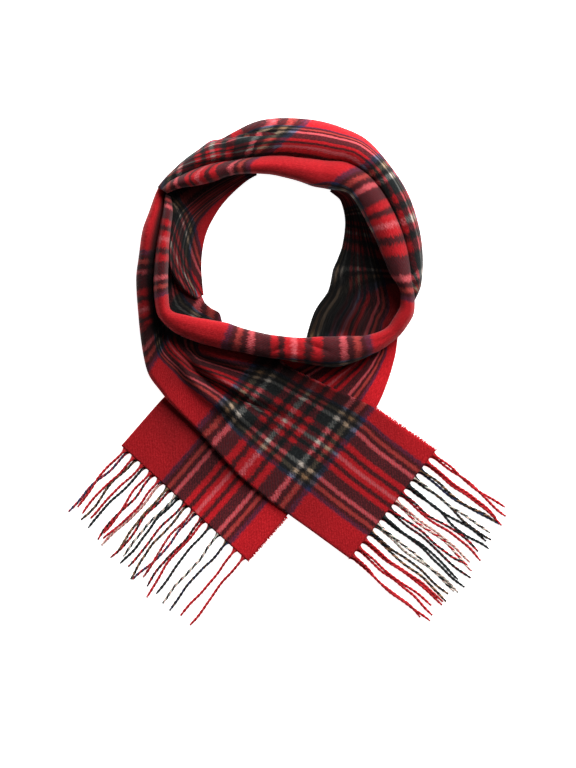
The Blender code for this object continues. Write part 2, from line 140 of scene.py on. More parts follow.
def wave(x, y, seed, size):
    # uneven relief between about -1 and 1: the sum of six sine waves that cross at any turn,
    # each 0.7 to 1.5 times this size long, over 3.5
    rng = np.random.default_rng(seed)
    total = np.zeros(np.broadcast(x, y).shape)
    for _ in range(6):
        turn, phase, stretch = rng.uniform(0, 2 * math.pi, 2).tolist() + [rng.uniform(0.7, 1.5)]
        way = x * math.cos(turn) + y * math.sin(turn)
        total = total + np.sin(way * 2 * math.pi / (size * stretch) + phase)
    return total / 3.5


def crease(x, y, route, height, width):
    # a ridge, or a valley if the height is negative, along a smooth line through the route's
    # points in plan: a bell across it, times a sine to the power 0.6 along it
    route = np.array(route, float)
    run = np.concatenate([[0.0], np.cumsum(np.hypot(*np.diff(route, axis=0).T))])
    at = np.linspace(0, run[-1], 40)
    line = np.column_stack([smooth(run, part, at) for part in route.T])
    start, step = line[:-1], np.diff(line, axis=0)
    away = np.stack([x, y], axis=-1)[..., None, :] - start
    place = np.clip(np.sum(away * step, axis=-1) / np.sum(step * step, axis=-1), 0, 1)
    distance = np.linalg.norm(away - place[..., None] * step, axis=-1)
    nearest = np.argmin(distance, axis=-1)[..., None]
    best = np.take_along_axis(distance, nearest, axis=-1)[..., 0]
    along = (nearest[..., 0] + np.take_along_axis(place, nearest, axis=-1)[..., 0]) / len(step)
    fade = np.sin(np.pi * np.clip(along, 0, 1)) ** 0.6
    return height * fade * bell(best, 0, width)


def writeMesh(name, points, faces, finish, uv=None, caps=(), smoothFaces=True):
    # a mesh from points in millimetres, quads as rows of indices, the cloth map, and the
    # faces that close its ends, each a row of indices
    corners = np.concatenate([np.ravel(part) for part in (faces, *caps)]).astype(np.int32)
    sizes = np.concatenate([np.full(part.size // part.shape[-1], part.shape[-1])
                            for part in (faces, *caps)])
    mesh = bpy.data.meshes.new(name)
    mesh.vertices.add(len(points))
    mesh.vertices.foreach_set("co", (np.asarray(points) * mm).astype(np.float32).ravel())
    mesh.loops.add(len(corners))
    mesh.loops.foreach_set("vertex_index", corners)
    mesh.polygons.add(len(sizes))
    starts = np.concatenate([[0], np.cumsum(sizes)[:-1]]).astype(np.int32)
    mesh.polygons.foreach_set("loop_start", starts)
    if uv is not None:
        layer = mesh.uv_layers.new(name="cloth")
        layer.data.foreach_set("uv", (uv[corners] * mm).astype(np.float32).ravel())
    mesh.update(calc_edges=True)
    mesh.validate()
    if smoothFaces:
        mesh.shade_smooth()
    mesh.materials.append(finish)
    piece = bpy.data.objects.new(name, mesh)
    bpy.context.scene.collection.objects.link(piece)
    return piece


def gridFaces(rows, columns, wrap=False):
    # the quads of a grid, closed across it if it wraps
    here = np.arange(rows * columns).reshape(rows, columns)
    beside = np.roll(here, -1, axis=1)
    if not wrap:
        here, beside = here[:, :-1], beside[:, :-1]
    return np.stack([here[:-1], beside[:-1], beside[1:], here[1:]], axis=-1).reshape(-1, 4)


def makeSheet(name, points, uv, shade, fields):
    # one layer of cloth: the grid is its middle, and Solidify gives it both faces. Its painted
    # shading is the fields' sum, each times its strength, stored on the sheet for its colour: 0 on
    # open cloth, towards 1 for painted shade where it lies deep in a fold or in shadow, and below 0
    # for painted highlight where it would catch the light
    rows, columns = points.shape[:2]
    faces = gridFaces(rows, columns)
    piece = writeMesh(name, points.reshape(-1, 3), faces, clothFinish, uv.reshape(-1, 2))
    paintedShading = sum(strength * fields[key] for key, strength in shade.items())
    paintedShading = np.broadcast_to(np.clip(paintedShading, *cloth["shadeRange"]), (rows, columns))
    layer = piece.data.attributes.new("paintedShading", "FLOAT", "POINT")
    layer.data.foreach_set("value", paintedShading.astype(np.float32).ravel())
    wall = piece.modifiers.new("cloth thickness", "SOLIDIFY")
    wall.thickness, wall.offset, wall.use_even_offset = cloth["thick"] * mm, 0.0, False
    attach(piece, "root")
    return piece


def addNode(tree, kind, settings, inputs):
    # one node with its settings; an input is a value, a socket, or a node whose first output
    # feeds it
    node = tree.nodes.new("ShaderNode" + kind)
    for key, value in settings.items():
        setattr(node, key, value)
    for key, value in inputs.items():
        if isinstance(value, bpy.types.Node):
            value = value.outputs[0]
        if isinstance(value, bpy.types.NodeSocket):
            tree.links.new(value, node.inputs[key])
        else:
            node.inputs[key].default_value = value
    return node


def toLinear(code):
    # an sRGB hex colour as linear red, green, blue and alpha
    parts = [int(code[i:i + 2], 16) / 255 for i in (0, 2, 4)]
    linear = [c / 12.92 if c <= 0.04045 else ((c + 0.055) / 1.055) ** 2.4 for c in parts]
    return (*linear, 1.0)


tartan = {
    "yarn": {"red": "980f17", "white": "b2a69b", "green": "131718", "black": "0e0d0e",
             "yellow": "785a40", "navy": "1e2240"},
    # half the sett from its middle outward, widths in millimetres; the last is the red ground
    "half": [("white", 1.4), ("red", 3.9), ("black", 4.5), ("red", 4.3), ("green", 10.3),
             ("white", 3.0), ("black", 4.5), ("yellow", 3.0), ("black", 3.6), ("navy", 3.6),
             ("red", 25.85)],
    "acrossMiddle": 58.5,  # from the selvedge to the first sett's middle
    "alongMiddle": 125.5,  # from the fringe to the first sett's middle
    "alongHalf": 90.0,  # half a repeat along the length, where the picks are coarser
    "lastPicks": 4.0,  # the last picks before the fringe are all red
    "edge": 1.7,  # how far a stripe's brushed edge runs into the next
}
# The wool's weave and nap. Each noise is cells in a metre across the cloth, the share of them
# along it, detail and roughness: 560 is a hair each 1.8 mm, 800 a fleck each 1.25 mm, and 45
# a patch of uneven dye each 22 mm. Real hairs and ribs are finer; these are as coarse as they
# need to be to show.
wool = {
    "hairs": (560.0, 0.45, 4.0, 0.75),
    "nap": (800.0, 0.6, 4.0, 0.8),
    "dye": (45.0, 2.0),
    "drag": (2.6, 5.0),  # how far the hairs drag colour across and along the cloth
    "twill": 3.2,  # four threads of 0.8, the width of one diagonal
    "ribBend": 9.0,  # how far the hairs bend the diagonals, in radians
    "weft": (0.08, 0.6, 0.2),  # share of weft that shows: by the rib, by the nap, always
    "mixing": 0.08,  # power at which crossing yarns are averaged, as the eye mixes threads
    "relief": (0.2, 0.9),  # by the rib and by the nap
    "bump": (0.5, 0.0005),  # strength, and height in metres
    "yarnNap": (0.3, 0.54),  # twisted yarn has less nap: times, plus
    # how the dye, the nap and the painted shade change the colour: times, plus
    "tones": ((0.4, 0.8), (2.2, -0.1), (-0.85, 1.0)),
    "veil": (0.045, -0.0212),  # a thin veil of light hairs, from the nap: times, plus
    # dry wool: no gloss, and a faint sheen from its hairs
    "surface": {"Roughness": 0.95, "Specular IOR Level": 0.1, "Sheen Weight": 0.08,
                "Sheen Roughness": 0.5},
    # light from the pale table gets through the thin strands
    "strand": {"Subsurface Weight": 0.6, "Subsurface Radius": (1.0, 0.5, 0.5),
               "Subsurface Scale": 0.0015},
}


def makeStripes(tree, position, middle, half):
    # the half sett as a colour ramp, read at the distance to the nearest sett's middle, which
    # ping-pong folds back and forth; each stripe's edge is a short blend
    away = addNode(tree, "Math", {"operation": "SUBTRACT"}, {0: position, 1: middle * mm})
    folded = addNode(tree, "Math", {"operation": "PINGPONG"}, {0: away, 1: half * mm})
    share = addNode(tree, "Math", {"operation": "DIVIDE"}, {0: folded, 1: half * mm})
    ramp = addNode(tree, "ValToRGB", {}, {0: share})
    stops = ramp.color_ramp.elements
    total = sum(width for _, width in tartan["half"])
    blend = 0.5 * tartan["edge"] / total
    end = 0.0
    for thread, width in tartan["half"]:
        start, end = end, end + width / total
        first = stops.new(start + blend) if start else stops[0]
        first.color = toLinear(tartan["yarn"][thread])
        last = stops.new(end - blend) if end < 0.999 else stops[len(stops) - 1]
        last.color = toLinear(tartan["yarn"][thread])
    return ramp


def makeClothMaterial(name, woven):
    # brushed wool: crossing yarns mix to darker tones under faint diagonals, and the nap blurs
    # the stripes; unwoven it is the warp yarn alone, as in the fringe
    finish = bpy.data.materials.new(name)
    finish.use_nodes = True
    tree = finish.node_tree
    shader = tree.nodes["Principled BSDF"]
    clothMap = addNode(tree, "UVMap", {"uv_map": "cloth"}, {})
    mapParts = addNode(tree, "SeparateXYZ", {}, {0: clothMap})

    # hairs lie along the cloth, so their noise is fine across it and long along it
    noises = []
    for key in ("hairs", "nap"):
        scale, stretch, detail, rough = wool[key]
        stretched = addNode(tree, "VectorMath", {"operation": "MULTIPLY"},
                            {0: clothMap, 1: (1.0, stretch, 1.0)})
        noises.append(addNode(tree, "TexNoise", {}, {"Vector": stretched, "Scale": scale,
                                                     "Detail": detail, "Roughness": rough}))
    hairs = addNode(tree, "SeparateXYZ", {}, {0: noises[0].outputs["Color"]})
    nap = noises[1].outputs["Fac"]

    # the hairs drag each spot of colour a little way across and along the cloth
    dragged = []
    for axis, reach in enumerate(wool["drag"]):
        centred = addNode(tree, "Math", {"operation": "SUBTRACT"}, {0: hairs.outputs[axis], 1: 0.5})
        moved = addNode(tree, "Math", {"operation": "MULTIPLY"}, {0: centred, 1: 2 * reach * mm})
        dragged.append(addNode(tree, "Math", {"operation": "ADD"},
                               {0: mapParts.outputs[axis], 1: moved}))
    halfWidth = sum(width for _, width in tartan["half"])
    warp = makeStripes(tree, dragged[0], tartan["acrossMiddle"], halfWidth)

    if woven:
        along = addNode(tree, "Math", {"operation": "MAXIMUM"},
                        {0: dragged[1], 1: tartan["lastPicks"] * mm})
        weft = makeStripes(tree, along, tartan["alongMiddle"], tartan["alongHalf"])
        # the twill's ribs: the sine of across plus along, bent by the hairs
        slant = addNode(tree, "Math", {"operation": "ADD"},
                        {0: mapParts.outputs[0], 1: mapParts.outputs[1]})
        turns = addNode(tree, "Math", {"operation": "MULTIPLY"},
                        {0: slant, 1: 2 * math.pi / (wool["twill"] * mm)})
        bent = addNode(tree, "Math", {"operation": "MULTIPLY_ADD"},
                       {0: hairs.outputs[2], 1: wool["ribBend"], 2: turns})
        rib = addNode(tree, "Math", {"operation": "SINE"}, {0: bent})
        # each spot weighs warp against weft as a diagonal brings up one or the other
        byRib, byNap, always = wool["weft"]
        weight = addNode(tree, "Math", {"operation": "MULTIPLY_ADD"}, {0: nap, 1: byNap, 2: always})
        weight = addNode(tree, "Math", {"operation": "MULTIPLY_ADD"}, {0: rib, 1: byRib, 2: weight})
        # a power mean: both are raised to a small power, averaged, and raised back
        lifted = [addNode(tree, "Gamma", {}, {0: thread, 1: wool["mixing"]})
                  for thread in (warp, weft)]
        mixed = addNode(tree, "Mix", {"data_type": "RGBA"}, {0: weight, 6: lifted[0], 7: lifted[1]})
        colour = addNode(tree, "Gamma", {}, {0: mixed.outputs[2], 1: 1 / wool["mixing"]})
        byRib, byNap = wool["relief"]
        relief = addNode(tree, "Math", {"operation": "MULTIPLY"}, {0: nap, 1: byNap})
        relief = addNode(tree, "Math", {"operation": "MULTIPLY_ADD"}, {0: rib, 1: byRib, 2: relief})
    else:
        colour, relief = warp, nap
        times, plus = wool["yarnNap"]
        nap = addNode(tree, "Math", {"operation": "MULTIPLY_ADD"}, {0: nap, 1: times, 2: plus})

    # uneven dye, the light and dark of the nap, and the painted shade and painted highlight stored
    # on the sheet
    place = addNode(tree, "TexCoord", {}, {}).outputs["Object"]
    scale, detail = wool["dye"]
    dye = addNode(tree, "TexNoise", {}, {"Vector": place, "Scale": scale, "Detail": detail})
    painted = addNode(tree, "Attribute", {"attribute_name": "paintedShading"}, {})
    shade = 1.0
    sources = (dye.outputs["Fac"], nap, painted.outputs["Fac"])
    for source, (times, plus) in zip(sources, wool["tones"]):
        tone = addNode(tree, "Math", {"operation": "MULTIPLY_ADD"}, {0: source, 1: times, 2: plus})
        shade = addNode(tree, "Math", {"operation": "MULTIPLY"}, {0: shade, 1: tone})
    times, plus = wool["veil"]
    veil = addNode(tree, "Math", {"operation": "MULTIPLY_ADD"}, {0: nap, 1: times, 2: plus})
    veil = addNode(tree, "Math", {"operation": "MAXIMUM"}, {0: veil, 1: 0.0})
    toned = addNode(tree, "VectorMath", {"operation": "MULTIPLY_ADD"},
                    {0: colour, 1: shade, 2: veil})
    strength, depth = wool["bump"]
    bump = addNode(tree, "Bump", {}, {"Strength": strength, "Distance": depth, "Height": relief})
    tree.links.new(toned.outputs[0], shader.inputs["Base Color"])
    tree.links.new(bump.outputs[0], shader.inputs["Normal"])
    surface = wool["surface"] if woven else {**wool["surface"], **wool["strand"]}
    for key, value in surface.items():
        shader.inputs[key].default_value = value
    return finish


clothFinish = makeClothMaterial("brushed wool twill, tartan", True)
yarnFinish = makeClothMaterial("twisted wool yarn, dyed", False)
print("cloth materials made")


# The fold round the loop, seen as sections at bearings that run clockwise from its upper left
# corner. Columns are radii from the neck hole's middle, then heights.
loop = {
    "rows": 400,
    "inner": 52,  # points from the fold's inner foot to the valley
    "outer": 44,  # and on to the outer foot
    "inset": 0.8,  # the sheet's middle lies this far inside the loop's outside
    # at the sides and the top: a fold, a valley behind it and an outer band
    "bandColumns": "bearing fold valley rim foot top dip crest",
    "band": [
        (149.5, 108.5, 114.2, 119, 12, 23, 17, 16),
        (145, 102.5, 112, 118.3, 12.5, 28, 18.5, 17.5),
        (138, 92, 106.5, 116.5, 13, 33, 18, 22.5),
        (126, 82, 99, 115, 14, 35, 17, 27),
        (119, 79.8, 94.5, 115.8, 14.3, 35, 17, 27.5),
        (113.5, 78, 91, 113.2, 14.5, 35, 17.2, 25.5),
        (108.5, 76.3, 89.4, 114.6, 14.5, 35.2, 17.5, 28.5),
        (95, 72, 87.5, 121, 14.5, 36, 18, 30),
        (78, 69, 89, 124.4, 14.5, 37, 20, 30),
        (62, 70, 95.5, 129.5, 14.5, 38, 22, 31),
        (50, 76, 106.5, 132.5, 14.5, 38, 23, 31),
        (38, 87, 111.5, 132, 14.5, 38, 23, 30),
        (20, 89, 114, 132.4, 14, 37, 22.5, 28),
        (4, 94.5, 119.5, 133.8, 13, 34, 20.5, 25),
        (-8, 104.5, 124.5, 135, 11.5, 30, 18.5, 21),
        (-17, 119, 130, 136.2, 9, 25, 18, 18),
        (-26, 121, 132.5, 136.7, 7, 22.5, 17, 16),
    ],
    # at the front and lower left: one plain fold
    "frontColumns": "bearing inner outer footIn footOut top",
    "front": [
        (-8, 105, 135, 9, 0, 27),
        (-17, 119, 136.2, 8.2, 0, 24.5),
        (-22.5, 122.5, 137.2, 7.2, 0, 22.5),
        (-30, 121.5, 135.4, 6.2, 4.3, 22),
        (-40, 111, 129.5, 6, 4.3, 25),
        (-49, 96, 122.5, 5.5, 4.3, 27),
        (-60, 84, 115, 5.5, 4.3, 27),
        (-74, 76.5, 101, 7, 7, 25.5),
        (-88, 71.5, 92.5, 8.6, 8.6, 26.5),
        (-104, 69, 90.5, 8.6, 8.6, 27),
        (-120, 71, 95.5, 8.6, 8.6, 28),
        (-134, 80, 105, 8.6, 8.6, 28.5),
        (-144, 92, 113, 8.6, 8.6, 29),
        (-152, 103, 116, 5, 5, 29.5),
        (-159, 99.5, 113, 1, 1, 31),
        (-168, 95, 108.5, 1, 1, 33),
        (-180, 92.5, 104.5, 1, 1, 34),
        (-190, 92.3, 103, 1, 1, 33),
        (-198, 93.8, 104, 1, 1, 32),
        (-202.5, 95.8, 105.3, 5, 5, 29),
        (-206.5, 99.8, 107.3, 6.5, 6.5, 23),
        (-209.6, 104.2, 109.6, 7, 7, 16),
    ],
    "givesWay": (-11.0, -25.0),  # bearings over which the first turns into the second
    # creases: route in plan, height and half width
    "creases": [
        ([(-60, 209), (-40, 213), (-18, 214), (2, 212)], -4.0, 3.5),  # between two lobes, top left
        ([(-66, 205), (-52, 207), (-30, 207)], 1.5, 4.0),
        ([(9, 34), (9, 27), (8, 18)], -2.6, 3.2),  # the front's pucker, and folds that fan from it
        ([(5, 30), (-6, 22), (-18, 18)], -2.0, 2.5),
        ([(13, 30), (26, 24), (40, 19)], -2.0, 2.5),
        ([(0, 31), (-10, 30), (-22, 32)], 1.8, 3.5),
        ([(18, 31), (28, 30), (40, 31)], 1.6, 3.5),
        ([(60, 26), (84, 30), (102, 40)], -1.5, 4.0),
        ([(-104, 60), (-106, 90), (-108, 120)], 1.0, 4.0),
    ],
    "uneven": {"seed": 5, "size": 60.0, "height": 0.5},  # the gentle wave of a soft fold
    # where the cloth's length has got to, along the fold, the valley and the rim
    "alongColumns": "bearing fold valley rim",
    "along": [
        (149.5, 438, 432, 415), (144, 451.5, 443, 430), (135, 485.5, 463, 449),
        (126, 502, 481, 467), (118, 517, 497, 485.5), (107, 536, 519.5, 501),
        (104, 541.3, 525, 505), (95.8, 551, 540, 514), (90, 559, 546, 519.5),
        (74.4, 577, 568, 541), (52, 607.5, 602, 592), (46, 616, 610, 605), (24, 650, 650, 650),
        (14.2, 665.5, 665.5, 667), (-10.6, 699.5, 702, 709), (-19, 721, 723, 728),
        (-38.8, 789.5, 776.5, 771), (-60, 828, 815, 810.5), (-75.5, 845.6, 840, 837),
        (-90, 863, 863, 863), (-121.7, 900.5, 905, 910), (-158.7, 967.5, 970, 973),
        (-167.8, 990, 990, 990), (-205.1, 1061, 1061, 1061), (-211, 1083.6, 1083.6, 1083.6),
    ],
    # how far across the cloth the inner foot, the top of the fold, the two sides of the
    # valley, the rim and the outer foot lie
    "acrossColumns": "bearing foot top valleyIn valleyOut rim end",
    "across": [
        (149.5, 160, 132, 112, 84, 56, 40), (135, 164, 130, 108, 78, 34, 20),
        (120, 168, 130, 105, 74, 18, 4), (95, 170, 131, 103, 71, 11, 1),
        (70, 176, 133, 103, 70, 10, 1), (50, 194, 150, 106, 66, 11, 1),
        (30, 196, 146, 104, 56, 13, 1), (0, 184, 131, 102, 50, 16, 4),
        (-12, 176, 130, 100, 60, 30, 12), (-20, 172, 130, 100, 80, 60, 30),
        (-48, 166, 123, 79, 76, 71, 60), (-60, 166, 120, 70, 68, 65, 58),
        (-74, 163, 120, 71, 69, 65, 58), (-100, 160, 127, 98, 94, 80, 60),
        (-150, 162, 128, 100, 94, 80, 60), (-211, 165, 130, 100, 94, 80, 60),
    ],
    # from the valley outward: share of the way down, and of the width from valley to rim
    "outward": ([0, 0.22, 0.45, 0.58], [0, 0.19, 0.67, 1]),
    # strengths of painted shade (above 0) and painted highlight (below 0) in each place
    "shade": {"foot": 0.6, "valley": 0.5, "frontFoot": 0.6, "brim": -0.45, "rim": -0.8},
}


def bandKeys(s):
    # foot, fold, valley, outer crest and foot of each section: shares of the widths between
    # the radii, and of the rises between the heights
    half = loop["inset"]
    foldWidth, outerWidth = s["valley"] - s["fold"], s["rim"] - s["valley"]
    rise, drop, climb = s["top"] - s["foot"], s["top"] - s["dip"], s["crest"] - s["dip"]
    return stackKeys([
        (s["fold"] + 4.2, s["foot"] + half),
        (s["fold"] + 1.8, s["foot"] + 2.2),
        (s["fold"] + half, s["foot"] + 0.4 * rise),
        (s["fold"] + half + 0.08 * foldWidth, s["top"] - 0.2 * rise),
        (s["fold"] + 0.28 * foldWidth, s["top"] - 1.7),
        (s["fold"] + 0.48 * foldWidth, s["top"] - half),
        (s["fold"] + 0.72 * foldWidth, s["top"] - 0.16 * drop - half),
        (s["fold"] + 0.93 * foldWidth, s["dip"] + 0.35 * drop),
        (s["valley"], s["dip"]),
        (s["valley"] + 0.14 * outerWidth, s["dip"] + 0.6 * climb),
        (s["valley"] + 0.42 * outerWidth, s["crest"] - half),
        (s["rim"] - half - 0.17 * outerWidth, 0.84 * s["crest"]),
        (s["rim"] - half, 0.48 * s["crest"]),
        (s["rim"] - half - 0.4, 4.0),
        (s["rim"] - 3.0, half + 0.1),
    ])


def frontKeys(s):
    # the same number of keys for a plain fold: an arch of elliptical arcs between its feet,
    # then cloth tucked flat under it
    half = loop["inset"]
    inner, outer = s["inner"] + half, s["outer"] - half
    middle, reach = (inner + outer) / 2, (outer - inner) / 2
    lowIn, lowOut, top = s["footIn"] + half, s["footOut"] + half, s["top"] - half
    keys = [(middle - 0.7 * reach, lowIn)]
    for degrees in (188, 160, 128, 98, 70, 38, 5):  # round the arch from its inner foot
        angle = math.radians(degrees)
        low = lowIn if degrees > 90 else lowOut
        shoulder = low + 0.42 * (top - low)
        rise = shoulder - low if degrees > 180 else top - shoulder
        keys.append((middle + reach * math.cos(angle), shoulder + rise * math.sin(angle)))
    for share, lift in ((0.9, 0.12), (0.75, 0.02), (0.55, 0), (0.35, 0), (0.2, 0), (0.05, 0),
                        (-0.1, 0)):  # back inward under it
        keys.append((middle + share * reach, lowOut + lift * (top - lowOut)))
    return stackKeys(keys)


def loopSection(bearing):
    # radii and heights at these bearings: band keys times what is left of them plus front keys
    # times their share, run into even points
    band = readTable(loop["bandColumns"], loop["band"])
    front = readTable(loop["frontColumns"], loop["front"])
    bandAt = tableAt(band, np.maximum(bearing, band["bearing"][-1]))
    frontAt = tableAt(front, np.minimum(bearing, front["bearing"][0]))
    turned = smoothStep(*loop["givesWay"], bearing)[:, None, None]
    keys = bandKeys(bandAt) * (1 - turned) + frontKeys(frontAt) * turned
    return resampled(keys, {8: loop["inner"], 14: loop["outer"]})


def makeLoop():
    # sections stood round the neck hole, moved along their normals by creases and a wave; the
    # map runs evenly between its keys along each section
    bearing = np.linspace(loop["band"][0][0], loop["front"][-1][0], loop["rows"])
    points = standUp(bearing, loopSection(bearing))
    turn = bearing[:, None]
    along = tableAt(readTable(loop["alongColumns"], loop["along"]), turn)
    across = tableAt(readTable(loop["acrossColumns"], loop["across"]), turn)
    q = np.linspace(0, 1, loop["inner"])[None, :]  # from the inner foot to the valley
    r = np.linspace(0, 1, loop["outer"])[None, 1:]  # from the valley to the outer foot
    rimAt = loop["outward"][0][-1]
    foldU = np.where(q < 0.5, across["foot"] + (across["top"] - across["foot"]) * q / 0.5,
                     across["top"] + (across["valleyIn"] - across["top"]) * (q - 0.5) / 0.5)
    outward = np.interp(r, *loop["outward"])
    toRim = across["valleyOut"] + (across["rim"] - across["valleyOut"]) * outward
    toEnd = across["rim"] + (across["end"] - across["rim"]) * (r - rimAt) / (1 - rimAt)
    slant = smoothStep(-25.0, -40.0, turn)  # at the front the stripes begin to slant sooner
    inward = smoothStep(0.5, 1.0, q) * (1 - slant) + smoothStep(0.15, 1.0, q) * slant
    foldV = along["fold"] + (along["valley"] - along["fold"]) * inward
    outerV = along["valley"] + (along["rim"] - along["valley"]) * np.clip(r / rimAt, 0, 1)
    uv = np.stack([np.concatenate([foldU, np.where(r < rimAt, toRim, toEnd)], 1),
                   np.concatenate([foldV, outerV], 1)], axis=-1)

    normal = gridNormals(points)
    normal *= np.sign(normal[:, loop["inner"] // 2 + 10, 2]).mean()  # upward on top of the fold
    faceUp = smoothStep(0.1, 0.5, normal[..., 2])
    lift = sum(crease(points[..., 0], points[..., 1], *one) for one in loop["creases"])
    points = points + normal * (lift * faceUp)[..., None]
    calm = smoothStep(0, 0.06, np.linspace(0, 1, points.shape[1]))[None, :, None]
    uneven = loop["uneven"]
    relief = wave(uv[..., 1], uv[..., 0], uneven["seed"], uneven["size"])[..., None]
    points = points - normal * uneven["height"] * calm * relief

    # painted shade at the fold's feet and in the valley, where they lie deep; painted highlight
    # on the front's brim and on the outer rim at the top right, where they would catch the light
    q, r = np.concatenate([q, 1 + 0 * r], 1), np.concatenate([0 * q, r], 1)
    deep = (0.4 + 0.6 * smoothStep(40, 90, turn)) * smoothStep(-20, 0, turn)
    return makeSheet("loopFold", points, uv, loop["shade"], {
        "foot": (1 - smoothStep(0, 0.12, q)) * deep,
        "valley": smoothStep(0.9, 1.0, q) * (1 - smoothStep(0, 0.12, r)) * deep,
        "frontFoot": (1 - smoothStep(0.1, 0.25, q)) * smoothStep(0, -25, turn),
        "brim": bell(q, 0.28, 0.07) * smoothStep(-30, -45, turn) * smoothStep(-165, -140, turn),
        "rim": smoothStep(0.24, 0.42, r) * smoothStep(32, 48, turn) * smoothStep(98, 76, turn),
    })


loopFold = makeLoop()
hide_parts("band_right", "band_top", "fold_left", "front_band")
print("loop made")


# Each row crosses the doubled cloth of an end: its fold and its selvedges in plan, the height
# that it lies at, how far the fold stands up, the upper selvedge's height, and the length
# along the cloth at the fold and at the selvedge. Then, where the upper end needs them: how
# far the upper layer tucks in past its edge, how far across the cloth that edge is, and how
# much the map gathers towards the middle or spreads.
endColumns = ("foldX foldY edgeX edgeY base foldRise edgeRise alongFold alongEdge "
              "tuck acrossEdge gather spread")
endShape = {
    "offTable": 0.05,  # under the lower layer
    "edgeBack": 0.6,  # how far the lower selvedge stands back from the upper one
    "bend": (1.2, 0.36),  # least reach of the fold's bend, and most as a share of the width
    "arc": (-90, 80),  # degrees from its foot to where the upper layer takes over
    "foldSpan": 2.0,  # how far across the cloth the bend runs on either side of the fold's line
    "gap": 1.7,  # what the tucked edge keeps above the lower layer
    # across the upper layer from its edge: share of the width, and how far the map spreads
    "spread": ([0, 0.19, 0.43, 0.78, 1], [0, 0.07, 0.042, 0.03, 0]),
}
upper = {
    "rows": [
        (56, -165, 133, -68, 0, 4, 4, 0, 0),
        (19, -138, 98, -44, 0.6, 4, 4, 49, 45.5, 0, 0, 0, 0.2),
        (3, -126.5, 82, -32.5, 2.4, 4, 4, 70, 66, 0, 0, 0, 0.5),
        (-41, -92, 31, -8, 4.3, 4.2, 4, 123.5, 122, 0, 0, 0, 1),
        (-62, -70, 5, 5, 4.3, 4.6, 4, 152.5, 150.5, 0, 0, 0, 0.9),
        (-83, -47, -19, 20, 4.3, 5.2, 4, 182.5, 179, 0, 0, 0.5, 0.4),
        (-105.5, -24.5, -64, 30, 4.3, 6.8, 4, 217, 218, 0, 0, 0.8),
        (-112, -16.5, -76, 31, 4.3, 8, 4, 228.5, 230.5, 1, 14, 0.8),
        (-124.5, 2.5, -105.5, 36.5, 1, 11.5, 6.5, 252.5, 255, 3.5, 55, 0.35),
        (-132.4, 50.5, -118.4, 56.5, 0, 15.5, 12, 300.5, 300.5, 5, 96),
        (-134.5, 84.5, -121, 87, 0, 18, 13.5, 334.4, 334.4, 5.5, 101),
        (-132, 106, -119.5, 106, 0, 22, 15.5, 356.4, 356.4, 6, 104),
        (-129.2, 126.5, -116.5, 124.2, 0, 24.5, 18, 377.4, 377.4, 6, 104),
        (-122.5, 145.9, -112.8, 142.3, 0, 21, 16, 397.5, 397.5, 5, 106),
        (-115.9, 164, -109, 160.2, 0, 12.5, 9.5, 417, 417, 3, 112),
        (-111.8, 171, -105, 167, 0, 10.5, 8, 425, 425, 2, 112),
    ],
    # rows of the grid, and points of each stretch across it
    "count": 250, "lower": 56, "turn": 16, "upper": 84, "tucked": 14,
    # pleats that gather where it comes out from under the loop: route, height, half width
    "pleats": [
        ([(-110, 33), (-95, 12), (-80, -10), (-62, -26), (-38, -38)], 6.5, 5.0),
        ([(-104, 34), (-84, 12), (-66, 0), (-42, -14), (-10, -26)], 5.0, 4.0),
        ([(-106, 36), (-76, 22), (-50, 12), (-24, 6)], 4.0, 4.5),
        ([(-104, 30), (-86, 7), (-68, -8), (-52, -20), (-36, -27.5), (-16, -34), (8, -45)],
         -4.5, 4.5),
        ([(-96, 24), (-70, 12), (-44, 2), (-16, -12)], -3.0, 3.5),
        ([(-72, -36), (-48, -46), (-24, -50), (0, -50)], -2.5, 6.0),
    ],
    # the front fold's lower edge, under which it comes out: x and y
    "front": ([-115.7, -108.6, -90.8, -68.5, -41.8, -15.1, 11.6, 33.8, 60.0],
              [52.5, 40.9, 32.0, 24.9, 19.6, 14.2, 9.8, 5.3, 6.0]),
    # strengths of painted shade (above 0) and painted highlight (below 0) in each place
    "shade": {"near": 0.32, "far": 0.2, "dips": 0.11, "gap": 1.0, "outer": 0.5, "pleated": 0.35,
              "rim": 0.6, "middle": 0.33, "open": -0.14, "selvedgeHighlight": -0.8},
}
